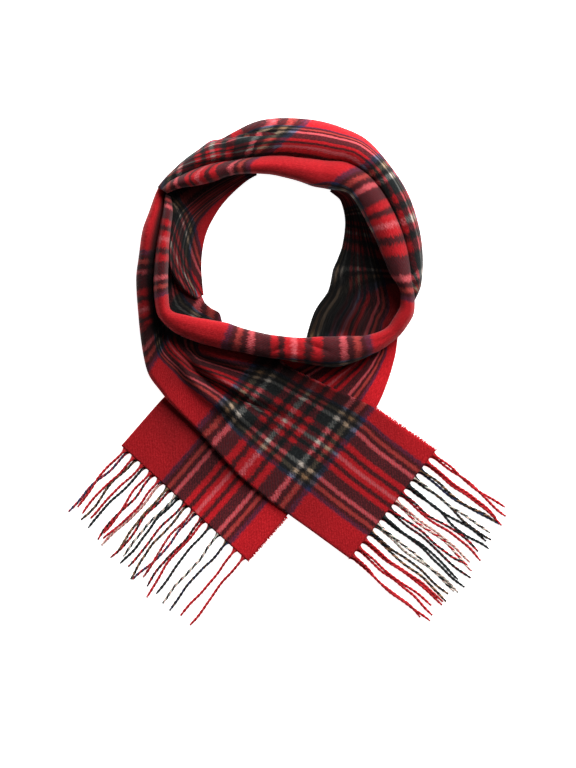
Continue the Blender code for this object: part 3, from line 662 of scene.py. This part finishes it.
lower = {
    "rows": [
        (-148, -64, -35, -167, 0, 4, 4, 0, 0),
        (-128, -41, -14, -143, 0, 4, 4, 31, 31),
        (-109, -20, 8, -117, 0, 4, 4, 60, 62),
        (-73, 10, 43, -76, 0, 4, 4, 118, 127),
        (-35, 22, 66, -50, 0, 4, 4, 175, 178),
        (-12, 26, 81.5, -27, 0, 4, 4, 201, 202),
        (8, 28.5, 88, -12, 0, 4, 4, 212, 211),
        (32, 28, 94, 6, 0, 4, 4, 222, 220),
        (50, 29, 97.3, 20, 0, 4, 4, 230, 229),
        (40, 31, 98.5, 30, 0, 4, 4, 238, 234),
        (17.5, 33, 98.8, 32.4, 0, 4, 4, 262, 224),
        (24.2, 55, 99.5, 33.5, 0, 4, 4, 266, 223),
        (37, 74.7, 97.7, 36.9, 0, 4, 4, 268, 222),
        (39.1, 82.8, 105.3, 53.3, 0, 4, 4.6, 270, 228),
        (40.9, 92.6, 100, 77.8, 0, 4, 7, 273, 246),
        (44.9, 102, 91.2, 98.7, 0, 4, 9, 278, 284),
        (49.4, 114.8, 82.6, 119.4, 0, 4, 10, 289, 302),
        (51.9, 134.9, 72, 143.8, 0, 4, 11, 320, 342),
        (48.1, 153.7, 59.1, 162.3, 0, 4, 11.5, 384, 384),
        (38.2, 162.9, 41.9, 167.9, 0, 4, 11.5, 400, 400),
    ],
    "count": 230, "lower": 50, "turn": 14, "upper": 80, "tucked": 0,
    # this end is folded nearer one selvedge, and the fold wanders further under the front
    "foldAt": 104.5, "wanders": 52.0,
    # a point of each line, and the way across it
    "crossedBy": ((-89, -43.6), (-0.6436, -0.7655)), "foldLine": ((-148, -64), (0.74, -0.673)),
    "pleat": ((78, 20), (0.577, -0.817)),
    # strengths of painted shade (above 0) and painted highlight (below 0) in each place
    "shade": {"inner": 0.96, "fan": -0.18, "deepest": 0.09, "tab": -0.3, "holeEdge": -0.25,
              "crossed": 0.68, "corner": -0.9, "right": -0.6, "pleatDark": 0.5,
              "pleatLight": -0.35},
}


def endGrid(spec):
    # doubled cloth, row by row along the end: out flat along the lower layer, round the fold
    # on an arc, back over the upper layer on a quarter of a sine, and on another quarter down
    # into the gap beside the loop, where the upper edge is tucked in
    table = readTable(endColumns, spec["rows"])
    step = [np.diff(table["fold" + axis] + table["edge" + axis]) / 2 for axis in "XY"]
    run = np.concatenate([[0.0], np.cumsum(np.hypot(*step))])
    s = tableAt({"run": run, **table}, np.linspace(0, run[-1], spec["count"])[:, None])
    width = np.hypot(s["foldX"] - s["edgeX"], s["foldY"] - s["edgeY"])
    half = cloth["thick"] / 2
    low = s["base"] + half + endShape["offTable"]
    halfRise = (s["foldRise"] - 2 * half) / 2
    least, most = endShape["bend"]
    reach = np.minimum(np.maximum(halfRise, least), most * width)
    turn = width - half - reach
    out = np.linspace(0, 1, spec["lower"])[None, :-1]
    arc = np.linspace(*endShape["arc"], spec["turn"])[None, :]
    angle = np.radians(arc)
    back = np.linspace(1, 0, spec["upper"])[None, 1:]
    tucked = np.linspace(0, 1, spec["tucked"] + 1)[None, 1:]
    start = endShape["edgeBack"]
    place = np.concatenate([start + out * (turn - start), turn + reach * np.cos(angle), turn * back,
                            -s["tuck"] * np.sin(0.5 * np.pi * tucked)], 1)
    edgeTop = s["base"] + s["edgeRise"] - half
    foldTop = s["base"] + s["foldRise"] - half
    sunk = np.minimum(edgeTop - low - endShape["gap"], 2 * s["tuck"])
    height = np.concatenate([low + 0 * out, low + halfRise * (1 + np.sin(angle)),
                             edgeTop + (foldTop - edgeTop) * np.sin(0.5 * np.pi * back),
                             edgeTop - sunk * (1 - np.cos(0.5 * np.pi * tucked))], 1)
    x = s["edgeX"] + place / width * (s["foldX"] - s["edgeX"])
    y = s["edgeY"] + place / width * (s["foldY"] - s["edgeY"])
    fold, span = cloth["fold"], endShape["foldSpan"]
    gathered = back - s["gather"] / (2 * np.pi) * np.sin(2 * np.pi * back) * (1 - 0.45 * back)
    gathered = gathered + s["spread"] * smooth(*endShape["spread"], back[0])
    u = np.concatenate([cloth["width"] - out * (cloth["width"] - fold - span) + 0 * width,
                        fold + span - 2 * span * (arc - arc[0, 0]) / np.ptp(arc) + 0 * width,
                        s["acrossEdge"] + gathered * (fold - span - s["acrossEdge"]),
                        s["acrossEdge"] - s["tuck"] * tucked], 1)
    v = s["alongEdge"] + place / width * (s["alongFold"] - s["alongEdge"])
    topSide = np.concatenate([0 * out, smoothStep(-40, 60, arc), 1 + 0 * back, 1 + 0 * tucked], 1)
    return np.stack([x, y, height], -1), np.stack([u, v], -1), topSide, s


def makeUpper():
    # the end's grid, with its pleats added to the height of the upper layer
    points, uv, topSide, s = endGrid(upper)
    x, y, v = points[..., 0], points[..., 1], uv[..., 1]
    lift = sum(crease(x, y, *pleat) for pleat in upper["pleats"])
    fade = np.ones(points.shape[1])
    fade[-upper["tucked"]:] = np.linspace(1, 0, upper["tucked"])
    points[..., 2] += lift * topSide * fade

    # painted shade: a painted shadow below the front fold, darker dips of the pleats, the gap and
    # the outer band beside the left fold, a strip along the selvedge and the middle; painted
    # highlight on the open end and along the upper selvedge
    below = smooth(*upper["front"], x) - y  # how far outside the front's edge
    beside = np.clip((x - s["foldX"]) / (s["edgeX"] - s["foldX"]), 0, 1)
    fromEdge = (1 - beside) * np.hypot(s["foldX"] - s["edgeX"], s["foldY"] - s["edgeY"])
    openEnd = smoothStep(200, 170, v)
    outside = (y < 45) * topSide
    outerRise = smoothStep(114, 92, y) * smoothStep(8, 26, y)  # beside the left fold
    return makeSheet("upperEnd", points, uv, upper["shade"], {
        "near": (1 - smoothStep(-4, 34, below)) * outside,
        "far": (1 - smoothStep(0, 75, below)) * outside,
        "dips": np.maximum(-lift, 0) * topSide,
        "gap": smoothStep(0.5, 1.0, beside) * smoothStep(20, 45, y) * topSide,
        "outer": smoothStep(-108, -116, x) * outerRise * topSide,
        "pleated": bell(x, -84, 24) * bell(y, 8, 17) * topSide,
        "rim": smoothStep(0.34, 0.1, 1 - beside) * smoothStep(70, 90, v) * openEnd * topSide,
        "middle": bell(x, -5, 38) * bell(y, -40, 26) * topSide,
        "open": smoothStep(62, 30, v) * topSide,
        "selvedgeHighlight": smoothStep(2.4, 0.6, fromEdge) * openEnd * topSide,
    })


def makeLower():
    # the end's grid, with its map counted from the other selvedge and the fold's line moved
    points, uv, topSide, s = endGrid(lower)
    x, y, u = points[..., 0], points[..., 1], uv[..., 0]
    share = np.linspace(0, 1, len(points))[:, None]
    fold = lower["foldAt"] + lower["wanders"] * smoothStep(0.5, 0.62, share)
    top = fold + (cloth["width"] - fold) * (1 - u / cloth["fold"])
    under = fold * (1 - (u - cloth["fold"]) / (cloth["width"] - cloth["fold"]))
    uv[..., 0] = np.where(u < cloth["fold"], top, under)

    # painted shade on the stretch inside the loop, where it lies deep, less along the edge of the
    # neck hole
    inner = smoothStep(26, 40, y) * topSide
    deepest = smoothStep(66, 50, x) * smoothStep(96, 66, y)
    fromFold = np.hypot(x - s["foldX"], y - s["foldY"])
    # distances from the fold that crosses over it, from its own fold and from a flat pleat
    crossed, across, off = ((x - point[0]) * way[0] + (y - point[1]) * way[1] for point, way in (
        lower["crossedBy"], lower["foldLine"], lower["pleat"]))
    pleated = smoothStep(40, 52, x) * smoothStep(-12, -4, y) * (y < 26) * topSide
    # painted shade inside the loop, lighter on the fan, the tab and along the hole's edge; a
    # painted shadow cast by the fold that crosses over it, and one beside the flat pleat's edge;
    # painted highlight on the corner beside the front, on the right part and along the pleat's edge
    return makeSheet("lowerEnd", points, uv, lower["shade"], {
        "inner": inner,
        "fan": inner * smoothStep(58, 84, x) * smoothStep(92, 62, y),
        "deepest": inner * deepest,
        "tab": inner * smoothStep(146, 158, y),
        "holeEdge": inner * bell(fromFold, 0, 3.0) * (1 - deepest),
        "crossed": np.exp(-np.maximum(crossed, 0) / 15.0) * smoothStep(-6, 0, crossed) * topSide,
        "corner": smoothStep(60, 80, x) * smoothStep(-40, -20, y) * smoothStep(34, 26, y) * topSide,
        "right": smoothStep(30, 75, across) * smoothStep(-90, -110, y) * topSide,
        "pleatDark": bell(off, 2.6, 2.0) * pleated,
        "pleatLight": bell(off, -0.8, 1.5) * pleated,
    })


upperEnd = makeUpper()
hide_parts("panel_right")
print("upper end made")
lowerEnd = makeLower()
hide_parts("panel_left", "inner_right")
print("lower end made")


# Two stretches inside the loop, as radii of the side at the hole and of the hidden side, and
# the height of the hidden side.
insideColumns = "bearing hole hidden height"
insideShape = {
    "lower": 20, "turn": 12, "upper": 60,  # points of each stretch
    "atHole": 4.0,  # height of the upper layer at the hole
    # how far the lower layer's edge stands back, with the fold at the hole and without
    "edgeBack": (0.6, 1.2),
    "bend": (1.25, 0.3),  # reach of the fold's bend, and most of it as a share of the width
    "power": (1.6, 1.4),  # of the rise to the hidden side, in the same two cases
}
leftStretch = {
    "rows": [
        (101, 72.6, 78, 4), (107, 70.7, 80.5, 6), (116, 67.5, 83, 10), (128, 64.5, 87.5, 11),
        (138, 63, 96.5, 10.5), (146, 62.2, 108.5, 9.5), (150.5, 62, 105.2, 11),
        (153.5, 62, 101, 13), (157.5, 62, 96.8, 16), (162, 62.1, 94.8, 17.5),
        (170, 62.2, 93.4, 19), (183, 63.2, 93.6, 18), (191, 64.5, 91, 14), (201, 67, 85.5, 9.5),
        (210, 70.7, 79.2, 6),
    ],
    "count": 130,
    # distances from the hole that count as one step and as two across the gathered cloth
    "gatherColumns": "bearing near far",
    "gather": [(101, 2, 5), (116, 4, 11), (131, 6.5, 17), (145, 11.5, 23), (158, 16, 28.5),
               (175, 16.7, 29), (190, 15, 27), (205, 10, 20)],
    "across": ([0, 0.6, 1, 2, 4.5], [257, 237, 224, 165, 150]),  # steps, and u there
    # bearings and v: at the hole, and as far away from it as foldAway
    "atHole": ([97, 123, 152, 174.4, 186.7, 195.5, 214.6],
               [1161, 1136, 1107, 1083.6, 1072, 1061, 1035]),
    "atFold": ([97, 120, 149, 155, 192, 201, 212], [1190, 1130, 1083.6, 1061, 990, 967.5, 940]),
    "foldAway": 30.0,
    # strengths of the painted shade
    "shade": {"deep": 0.72, "under": 0.2},
}
lowerStretch = {
    "rows": [
        (183, 84, 93, 5), (188, 83, 95, 6), (193, 82, 97.5, 6), (199, 79, 100.5, 5.5),
        (204, 75.5, 104, 4.8), (208, 73.8, 105.5, 4.4), (211, 72.8, 103, 4.2),
        (214.5, 73.6, 99.5, 4), (220.9, 72.2, 93.5, 4), (226.9, 69.9, 90, 4), (233, 74.5, 88, 4),
    ],
    "count": 60,
    "across": (257.0, -52.0),  # u at the hole, and its change to the hidden side
    # v at the hole at this bearing, its change with each degree, and to the hidden side
    "along": 1009.0, "bearing": 193.0, "alongTurn": -1.0, "alongAcross": 12.0,
    # strengths of the painted shade
    "shade": {"always": 0.25, "deep": 0.5},
}


def insideGrid(stretch, foldAtHole):
    # doubled cloth from the hidden side to the hole and back, or the other way about: flat
    # below, an arc round its fold, and above a power of the share of the way
    bearing = np.linspace(stretch["rows"][0][0], stretch["rows"][-1][0], stretch["count"])
    s = tableAt(readTable(insideColumns, stretch["rows"]), bearing[:, None])
    half, atHole = cloth["thick"] / 2, insideShape["atHole"]
    width = s["hidden"] - s["hole"]
    out = np.linspace(0, 1, insideShape["lower"])[None, :-1]
    angle = np.radians(np.linspace(*endShape["arc"], insideShape["turn"]))[None, :]
    back = np.linspace(0, 1, insideShape["upper"])[None, 1:]
    most, share = insideShape["bend"]
    reach = np.minimum(most, share * width)
    start, power = (insideShape[key][0 if foldAtHole else 1] for key in ("edgeBack", "power"))
    if foldAtHole:
        rise = 0.5 * (atHole - 2 * half) + 0 * width
        low = width - start - out * (width - start - half - reach)
        bend = half + reach - reach * np.cos(angle)
        high, climb = half + reach + back * (width - half - reach), back
    else:
        rise = 0.5 * (s["height"] - 2 * half)
        low = start + out * (width - start - half - reach)
        bend = width - half - reach + reach * np.cos(angle)
        high, climb = (width - half - reach) * (1 - back), 1 - back
    level = atHole - half + (s["height"] - atHole) * climb**power
    place = np.concatenate([low, bend, high], 1)
    height = np.concatenate([half + endShape["offTable"] + 0 * low,
                             half + rise * (1 + np.sin(angle)), level], 1)
    points = standUp(bearing, np.stack([s["hole"] + place, height], -1))
    return points, bearing[:, None], place / width


def makeInnerLeft():
    # its selvedges at the hole: u runs between keys at distances from the hole that change with
    # the bearing, and v changes evenly from the hole to the fold
    points, bearing, share = insideGrid(leftStretch, False)
    sides = readTable(insideColumns, leftStretch["rows"])
    away = share * smooth(sides["bearing"], sides["hidden"] - sides["hole"], bearing)
    steps = tableAt(readTable(leftStretch["gatherColumns"], leftStretch["gather"]), bearing)
    near, far = steps["near"], steps["far"]
    step = np.where(away < near, away / near, 1 + (away - near) / (far - near))
    u = np.interp(step, *leftStretch["across"])
    atHole, atFold = (smooth(*leftStretch[key], bearing) for key in ("atHole", "atFold"))
    v = atHole + (atFold - atHole) * away / leftStretch["foldAway"]
    # painted shade, growing away from the hole and deepest under the top of the loop
    deep = (0.3 + 0.7 * smoothStep(3, 12, away)) * (1 - 0.15 * smoothStep(180, 200, bearing))
    return makeSheet("innerLeft", points, np.stack([u, v], -1), leftStretch["shade"], {
        "deep": deep,
        "under": deep * (1 - smoothStep(135, 165, bearing)),
    })


def makeInnerLower():
    # its fold at the hole: u and v both change evenly with the bearing and across it
    points, bearing, share = insideGrid(lowerStretch, True)
    first, change = lowerStretch["across"]
    v = lowerStretch["along"] + (bearing - lowerStretch["bearing"]) * lowerStretch["alongTurn"]
    v = v + lowerStretch["alongAcross"] * share
    uv = np.stack([first + share * change, v], -1)
    # painted shade all over, deeper towards the hidden side
    return makeSheet("innerLower", points, uv, lowerStretch["shade"], {
        "always": 1.0,
        "deep": smoothStep(0.1, 0.6, share),
    })


innerLeft = makeInnerLeft()
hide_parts("inner_left")
innerLower = makeInnerLower()
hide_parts("inner_left_lower")
print("inner stretches made")


# What the loop hides: the scarf's other turn, as one layered roll.
hidden = {
    "band": (-7.0, 147.0), "front": (-184.0, -26.0), "rows": 90,  # bearings of its two stretches
    # and the low part between them: bearing, two radii and top
    "low": [(145, 109.5, 113.0, 4.5), (151.5, 104.2, 106.6, 4.5), (157.5, 98.6, 102.1, 4.5)],
    "inset": 1.9,  # below the loop's sheet
    "points": 60,
    # which points of the loop's section it follows at the front, and in the band
    "first": (6, 14), "last": (60, 90),
    "frontFrom": -17,  # bearing
    # heights of its base at the front at most, and in the band; how far its two sides keep
    # inside the loop's; least rise above its base
    "base": (8.7, 0.1), "keep": (1.5, 2.4), "rise": 1.0,
    # the inner side's layer edges: how far they stand back, and share of its rise
    "edges": [(3.0, 0.0), (0.8, 0.04), (0.0, 0.2), (0.5, 0.36), (2.6, 0.46), (2.6, 0.5),
              (0.7, 0.58), (0.0, 0.75), (0.4, 0.9)],
    "close": (0.6, 0.1),  # how far its outer foot stands back, and up from its base
    # u at its first point and the change with each point, v at bearing 0 and with each degree
    "across": (110, 1.4), "along": (800, -1.75),
}


def hiddenSection(bearing):
    # the loop's section moved inward along its normal, closed below, with layer edges on its
    # inner side
    line = loopSection(bearing)
    run = np.gradient(line, axis=1)
    run /= np.linalg.norm(run, axis=2, keepdims=True)
    skin = line + hidden["inset"] * np.stack([run[..., 1], -run[..., 0]], -1)
    frontPart = bearing[:, None] < hidden["frontFrom"]
    near, far = (np.where(frontPart, *hidden[key]) for key in ("first", "last"))
    share = np.linspace(0, 1, hidden["points"])[None, :]
    pick = near + share * (far - near)
    low = np.floor(pick).astype(int)[..., None]
    part = pick[..., None] - low
    skin = (np.take_along_axis(skin, low, 1) * (1 - part)
            + np.take_along_axis(skin, low + 1, 1) * part)
    most, table = hidden["base"]
    base = np.where(frontPart[:, 0], np.minimum(skin[:, 0, 1], most), table)
    inner = np.maximum(skin[:, 0, 0], line[:, 0, 0] + hidden["keep"][0])
    outer = np.minimum(skin[:, -1, 0], line[:, :, 0].max(axis=1) - hidden["keep"][1])
    skin[..., 0] = np.clip(skin[..., 0], inner[:, None], outer[:, None])
    skin[..., 1] = np.maximum(skin[..., 1], base[:, None] + hidden["rise"])
    rise = skin[:, 0, 1] - base
    edges = stackKeys([(inner + back, base + up * rise) for back, up in hidden["edges"]])
    back, up = hidden["close"]
    close = stackKeys([(outer, base + 0.5 * (skin[:, -1, 1] - base)), (outer - back, base + up)])
    return np.concatenate([edges, skin, close], axis=1)


def makeHidden():
    # its sections stood round the neck hole; in the low part, the front's first section scaled
    # to the radii and the top
    bearing = [np.linspace(*hidden[key], hidden["rows"]) for key in ("band", "front")]
    sections = [hiddenSection(part) for part in bearing]
    like = sections[1][0]
    least, most, table = like.min(axis=0), like.max(axis=0), hidden["base"][1]
    under = np.array([(like - least) / (most - least) * (far - near, top) + (near, table)
                      for _, near, far, top in hidden["low"]])
    bearing = np.concatenate([bearing[0], [row[0] for row in hidden["low"]], bearing[1] + 360])
    points = standUp(bearing, np.concatenate([sections[0], under, sections[1]]))
    rows, columns = points.shape[:2]
    count = np.arange(columns)
    (u, perPoint), (v, perDegree) = hidden["across"], hidden["along"]
    uv = stackKeys([(u + perPoint * column, v + perDegree * bearing) for column in count])
    caps = (count[None, ::-1], (count + (rows - 1) * columns)[None, :])
    piece = writeMesh("hiddenLayers", points.reshape(-1, 3), gridFaces(rows, columns, True),
                      clothFinish, uv.reshape(-1, 2), caps)
    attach(piece, "root")
    return piece


hiddenLayers = makeHidden()
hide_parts("hidden_layers")
print("hidden layers made")


# Each end's strands lie in two rows, one from each layer. Ways and lengths are given at the
# fold and at the selvedge. A row is its count, u at the fold and at its end, the share of the
# width that it takes up, its height at the root, and how far its strands are moved along.
# Tufts are where they begin and end, their count and their height.
fringes = {
    "lower": {
        "fold": (-148.0, -64.0), "edge": (-35.0, -167.0), "ways": ((-0.68, -0.73), (-0.61, -0.79)),
        "lengths": [(0.0, 69.5), (0.2, 70.0), (0.57, 77.0), (1.0, 79.0)],
        "rows": [(15, 104.5, 257.0, 1.0, 3.2, 0.0), (10, 104.5, 2.0, 0.667, 1.3, 0.26)], "seed": 3,
        "tufts": ((-35.0, -167.0), (0.0, -127.5), 40, 3.2),
    },
    "upper": {
        "fold": (56.0, -165.0), "edge": (133.0, -68.0), "ways": ((0.755, -0.656), (0.807, -0.591)),
        "lengths": [(0.0, 83.0), (0.3, 89.0), (0.6, 85.5), (1.0, 78.0)],
        "rows": [(14, 126.5, 0.0, 1.0, 3.2, 0.0), (14, 126.5, 257.0, 1.0, 1.3, -0.24)], "seed": 8,
        "tufts": ((133.0, -68.0), (68.0, -22.5), 58, 3.2),
    },
}
yarn = {
    "radius": 0.95, "orbit": 0.4, "turn": 9.0,  # of a ply, of its middle, and length of one twist
    "steps": 96, "sides": 6, "headSides": 12,
    "thinning": 0.3,  # share of the radius that is lost at the tip
    "plySpread": 0.14,  # how far in u each ply is moved either way, in strands' widths
    # length of the gathered cloth at a strand's root, how much of the width between strands it
    # takes up, its half width at the root, and its half height at the cloth and the rise of that
    "head": 6.5, "headWide": 0.93, "headNarrow": 1.1, "headHigh": (0.72, 0.3),
    "headMap": 0.45,  # how far in u the head reaches either way, in strands' widths
    "lengthVaries": 0.035, "leans": 4.0,  # at most, either way: share of the length, and mm
    "bends": ((2.3, 60, 105), (0.25, 22, 34)),  # waves of a strand: size, least and most length
    "rest": (1.0, 0.9),  # height on the table, and how much more where a strand lifts
}
# A tuft of weft: shares of its reach and its radii there, its height as a share of those, its
# sides, its least and most reach, and how far it may stray and lean; then its place in the
# map, u as a share of the width and v.
tuft = {
    "out": [-0.8, 0.35, 1.0], "radii": [0.75, 0.6, 0.15], "high": 0.8, "sides": 6,
    "reach": (0.9, 1.9), "strays": 0.2, "leans": 0.5, "u": 0.98, "v": 60.0,
}


def strandLines(spec):
    # middle lines of the strands: straight along their way, bent sideways by a power and two
    # sine waves, and sinking to the table on an S
    rng = np.random.default_rng(spec["seed"])
    fold, edge = np.array(spec["fold"]), np.array(spec["edge"])
    step = np.linspace(0, 1, yarn["steps"])
    lines, us, widths = [], [], []
    for count, uFold, uEdge, reach, level, offset in spec["rows"]:
        for i in range(count):
            share = reach * (i + 0.5 + offset) / count
            way = np.array(spec["ways"][0]) * (1 - share) + np.array(spec["ways"][1]) * share
            way /= np.hypot(*way)
            side = np.array([way[1], -way[0]])
            length = float(smooth(*zip(*spec["lengths"]), share))
            length *= 1 + rng.uniform(-yarn["lengthVaries"], yarn["lengthVaries"])
            length -= yarn["head"] if level > 2 else 0.0  # the upper row has a head before it
            bend = rng.uniform(-yarn["leans"], yarn["leans"]) * step**1.6
            for size, least, most in yarn["bends"]:
                swell = length / rng.uniform(least, most)
                bend = bend + size * rng.uniform(0.4, 1.0) * smoothStep(0, 0.35, step) * np.sin(
                    2 * math.pi * swell * step + rng.uniform(0, 2 * math.pi))
            start = fold + (edge - fold) * share + way * (yarn["head"] - 1.0)
            xy = start + way * (length * step)[:, None] + side * (bend - bend[0])[:, None]
            rest, lifts = yarn["rest"]
            lifts *= rng.uniform(0, 1)
            rest = rest + lifts * np.sin(2 * math.pi * step * 1.5 + rng.uniform(0, 6)) ** 2
            z = level + (rest - level) * smoothStep(0, 0.3, step)
            lines.append(np.column_stack([xy, z]))
            us.append(uFold + (uEdge - uFold) * (i + 0.5) / count)
            widths.append(abs(uEdge - uFold) / count)
    return np.array(lines), np.array(us), np.array(widths)


def tubes(middle, axisA, axisB, reachA, reachB, sides):
    # round each point of a middle line, a ring: one axis times its reach and the cosine, plus
    # the other times its reach and the sine; tubes x steps x sides x 3
    angle = 2 * math.pi * np.arange(sides) / sides
    ring = (reachA[..., None, None] * axisA[..., None, :] * np.cos(angle)[:, None]
            + reachB[..., None, None] * axisB[..., None, :] * np.sin(angle)[:, None])
    return middle[..., None, :] + ring


def tubeFaces(count, steps, sides, start):
    # the quads of every tube's grid, and the rings of corners that close its two ends
    base = gridFaces(steps, sides, True)
    shift = (np.arange(count) * steps * sides)[:, None]
    ends = np.arange(sides)[None, :]
    caps = np.concatenate([ends[:, ::-1] + shift, ends + (steps - 1) * sides + shift])
    return (base[None] + shift[:, None]).reshape(-1, 4) + start, caps + start


def strandPlies(lines, us, widths, length, side, up, rng):
    # two plies wind round each other: each one's middle is the strand's, plus the orbit times
    # the cosine of the twist to the side and the sine of it upward; both thin out at the tip
    spin = 2 * math.pi * (length / yarn["turn"] + rng.uniform(0, 1, (len(lines), 1)))
    taper = 1.0 - yarn["thinning"] * smoothStep(0.9, 1.0, np.linspace(0, 1, yarn["steps"]))[None, :]
    orbit, reach = yarn["orbit"] * taper[..., None], yarn["radius"] * taper
    plies = []
    for ply, aside in ((0.0, -yarn["plySpread"]), (math.pi, yarn["plySpread"])):
        wound = np.cos(spin + ply)[..., None] * side + np.sin(spin + ply)[..., None] * up
        shell = tubes(lines + orbit * wound, side, up, reach, reach, yarn["sides"])
        plies.append((shell, (us + aside * widths)[:, None, None], -length[..., None]))
    return plies


def strandHeads(spec, us, widths, root, ahead, side, up):
    # each strand's head gathers a width of the cloth's end into its root: an ellipse that turns
    # from the end's line to the strand's side and narrows on a quarter of a circle
    sides = yarn["headSides"]
    along = np.linspace(0, 1, 10) ** 1.5
    middle = root - ahead * yarn["head"] * (1 - along)[None, :, None]
    line = np.array(spec["edge"]) - np.array(spec["fold"])
    total = np.hypot(*line)
    line = np.append(line / total, 0.0)
    count, uFold, uEdge = spec["rows"][0][:3]
    turned = smoothStep(0.2, 1.0, along)[None, :, None]
    axis = line * (1 - turned) + side * turned * np.sign(np.sum(side * line, axis=-1))[..., None]
    wide = 0.5 * yarn["headWide"] * total / count
    low, more = yarn["headHigh"]
    reachA = wide - (wide - yarn["headNarrow"]) * np.sqrt(1 - (1 - along) ** 2) + 0 * us[:, None]
    reachB = low + more * along + 0 * us[:, None]
    shell = tubes(middle, axis, up + 0 * middle, reachA, reachB, sides)
    way = np.sign(uEdge - uFold) * yarn["headMap"]
    angle = 2 * math.pi * np.arange(sides) / sides
    u = us[:, None, None] + way * widths[:, None, None] * np.cos(angle)
    return shell, u, (-yarn["head"] * along)[:, None]


def weftTufts(spec, rng):
    # cut weft along the end's selvedge: short cones that lean a little either way
    first, last, many, level = spec["tufts"]
    first, last = np.array(first), np.array(last)
    along = (last - first) / np.hypot(*(last - first))
    away = np.array([-along[1], along[0]])
    away *= -np.sign(np.dot(away, np.array(spec["fold"]) - np.array(spec["edge"])))
    strays, leans = tuft["strays"], tuft["leans"]
    place = (np.arange(many) + 0.5 + rng.uniform(-strays, strays, many)) / many
    lean = away + along * rng.uniform(-leans, leans, (many, 1))
    reach = rng.uniform(*tuft["reach"], (many, 1, 1)) * np.array(tuft["out"])[:, None]
    flat = (first + (last - first) * place[:, None])[:, None] + lean[:, None] * reach
    middle = np.concatenate([flat, level + 0 * flat[..., :1]], -1)
    axisA = np.broadcast_to(np.append(along, 0.0), middle.shape)
    axisB = np.broadcast_to(np.array([0.0, 0.0, 1.0]), middle.shape)
    size = np.array(tuft["radii"]) + 0 * middle[..., 0]
    shell = tubes(middle, axisA, axisB, size, tuft["high"] * size, tuft["sides"])
    return shell, spec["rows"][0][2] * tuft["u"], tuft["v"]


def makeFringe(name, spec):
    # each strand's plies, heads and tufts as closed tubes in one mesh, each with its u and v
    lines, us, widths = strandLines(spec)
    ahead = np.gradient(lines, axis=1)
    length = np.cumsum(np.linalg.norm(ahead, axis=2), axis=1)
    ahead /= np.linalg.norm(ahead, axis=2, keepdims=True)
    side = np.cross(ahead, [0.0, 0.0, 1.0])
    side /= np.linalg.norm(side, axis=2, keepdims=True)
    up = np.cross(side, ahead)
    rng = np.random.default_rng(spec["seed"] + 50)
    parts = strandPlies(lines, us, widths, length, side, up, rng)
    parts.append(strandHeads(spec, us, widths, *[part[:, :1] for part in (lines, ahead, side, up)]))
    parts.append(weftTufts(spec, rng))
    points, uvs, faces, caps, start = [], [], [], [], 0
    for shell, u, v in parts:
        more, ends = tubeFaces(*shell.shape[:3], start)
        points.append(shell.reshape(-1, 3))
        uvs.append(np.stack(np.broadcast_arrays(u, v, shell[..., 0])[:2], -1).reshape(-1, 2))
        faces.append(more)
        caps.append(ends)
        start += len(points[-1])
    piece = writeMesh(name, np.concatenate(points), np.concatenate(faces), yarnFinish,
                      np.concatenate(uvs), caps)
    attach(piece, "root")
    return piece


fringeLower = makeFringe("fringeLower", fringes["lower"])
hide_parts("fringe_left")
fringeUpper = makeFringe("fringeUpper", fringes["upper"])
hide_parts("fringe_right")
print("fringes made")


studio = {
    "cameraHeight": 8000.0, "middle": (0.9, -9.0),  # right above this place
    # mm to a pixel of the frame, its height in pixels, and the sensor's in mm
    "scale": 0.8925, "frameHeight": 768, "sensor": 36.0,
    "floor": "f4f4f4", "roughness": 0.9, "glow": 0.97, "world": 0.03,
    "floorReach": 3000.0, "floorLevel": -0.3,
    # name, place, what it points at, side of the square lamp, power in watts
    "lamps": [
        ("key", (1050, 1850, 1300), (0, 0, 0), 2000, 150.0),
        ("side", (-1900, 500, 800), (0, 0, 0), 700, 4.0),
        ("fill", (200, 300, 2600), (0, 0, 0), 900, 2.0),
    ],
}


def makeStudio():
    # a white lit table, so that what lies on it hardly casts a shadow, three soft lamps that
    # each point along the line to their aim, and a long lens from right above
    floorFinish = bpy.data.materials.new("white acrylic light table")  # matt, and glowing white
    floorFinish.use_nodes = True
    shader = floorFinish.node_tree.nodes["Principled BSDF"]
    shader.inputs["Base Color"].default_value = toLinear(studio["floor"])
    shader.inputs["Roughness"].default_value = studio["roughness"]
    shader.inputs["Emission Color"].default_value = (1, 1, 1, 1)
    shader.inputs["Emission Strength"].default_value = studio["glow"]
    reach, level = studio["floorReach"], studio["floorLevel"]
    corners = [(x * reach, y * reach, level) for x, y in ((-1, -1), (1, -1), (1, 1), (-1, 1))]
    floor = writeMesh("floor", corners, np.array([[0, 1, 2, 3]]), floorFinish, smoothFaces=False)
    world = bpy.data.worlds.new("studio")
    world.use_nodes = True
    world.node_tree.nodes["Background"].inputs[0].default_value = (1, 1, 1, 1)
    world.node_tree.nodes["Background"].inputs[1].default_value = studio["world"]
    scene = bpy.context.scene
    scene.world = world
    for name, spot, aim, size, power in studio["lamps"]:
        lamp = bpy.data.lights.new(name, "AREA")
        lamp.shape, lamp.size, lamp.energy = "SQUARE", size * mm, power
        holder = bpy.data.objects.new(name, lamp)
        scene.collection.objects.link(holder)
        holder.location = [value * mm for value in spot]
        way = (np.array(aim) - np.array(spot)).astype(float)
        flat = math.hypot(way[0], way[1])
        holder.rotation_euler = (math.atan2(flat, -way[2]), 0, math.atan2(-way[0], way[1]))
    camera = bpy.data.cameras.new("camera")
    camera.sensor_width = studio["sensor"]
    frameHeight = studio["frameHeight"] * studio["scale"]
    camera.lens = studio["sensor"] * studio["cameraHeight"] / frameHeight
    camera.clip_end = 100.0
    holder = bpy.data.objects.new("camera", camera)
    holder.location = [value * mm for value in (*studio["middle"], studio["cameraHeight"])]
    scene.collection.objects.link(holder)
    scene.camera = holder
    scene.view_settings.view_transform = "Standard"


makeStudio()
print("studio made")
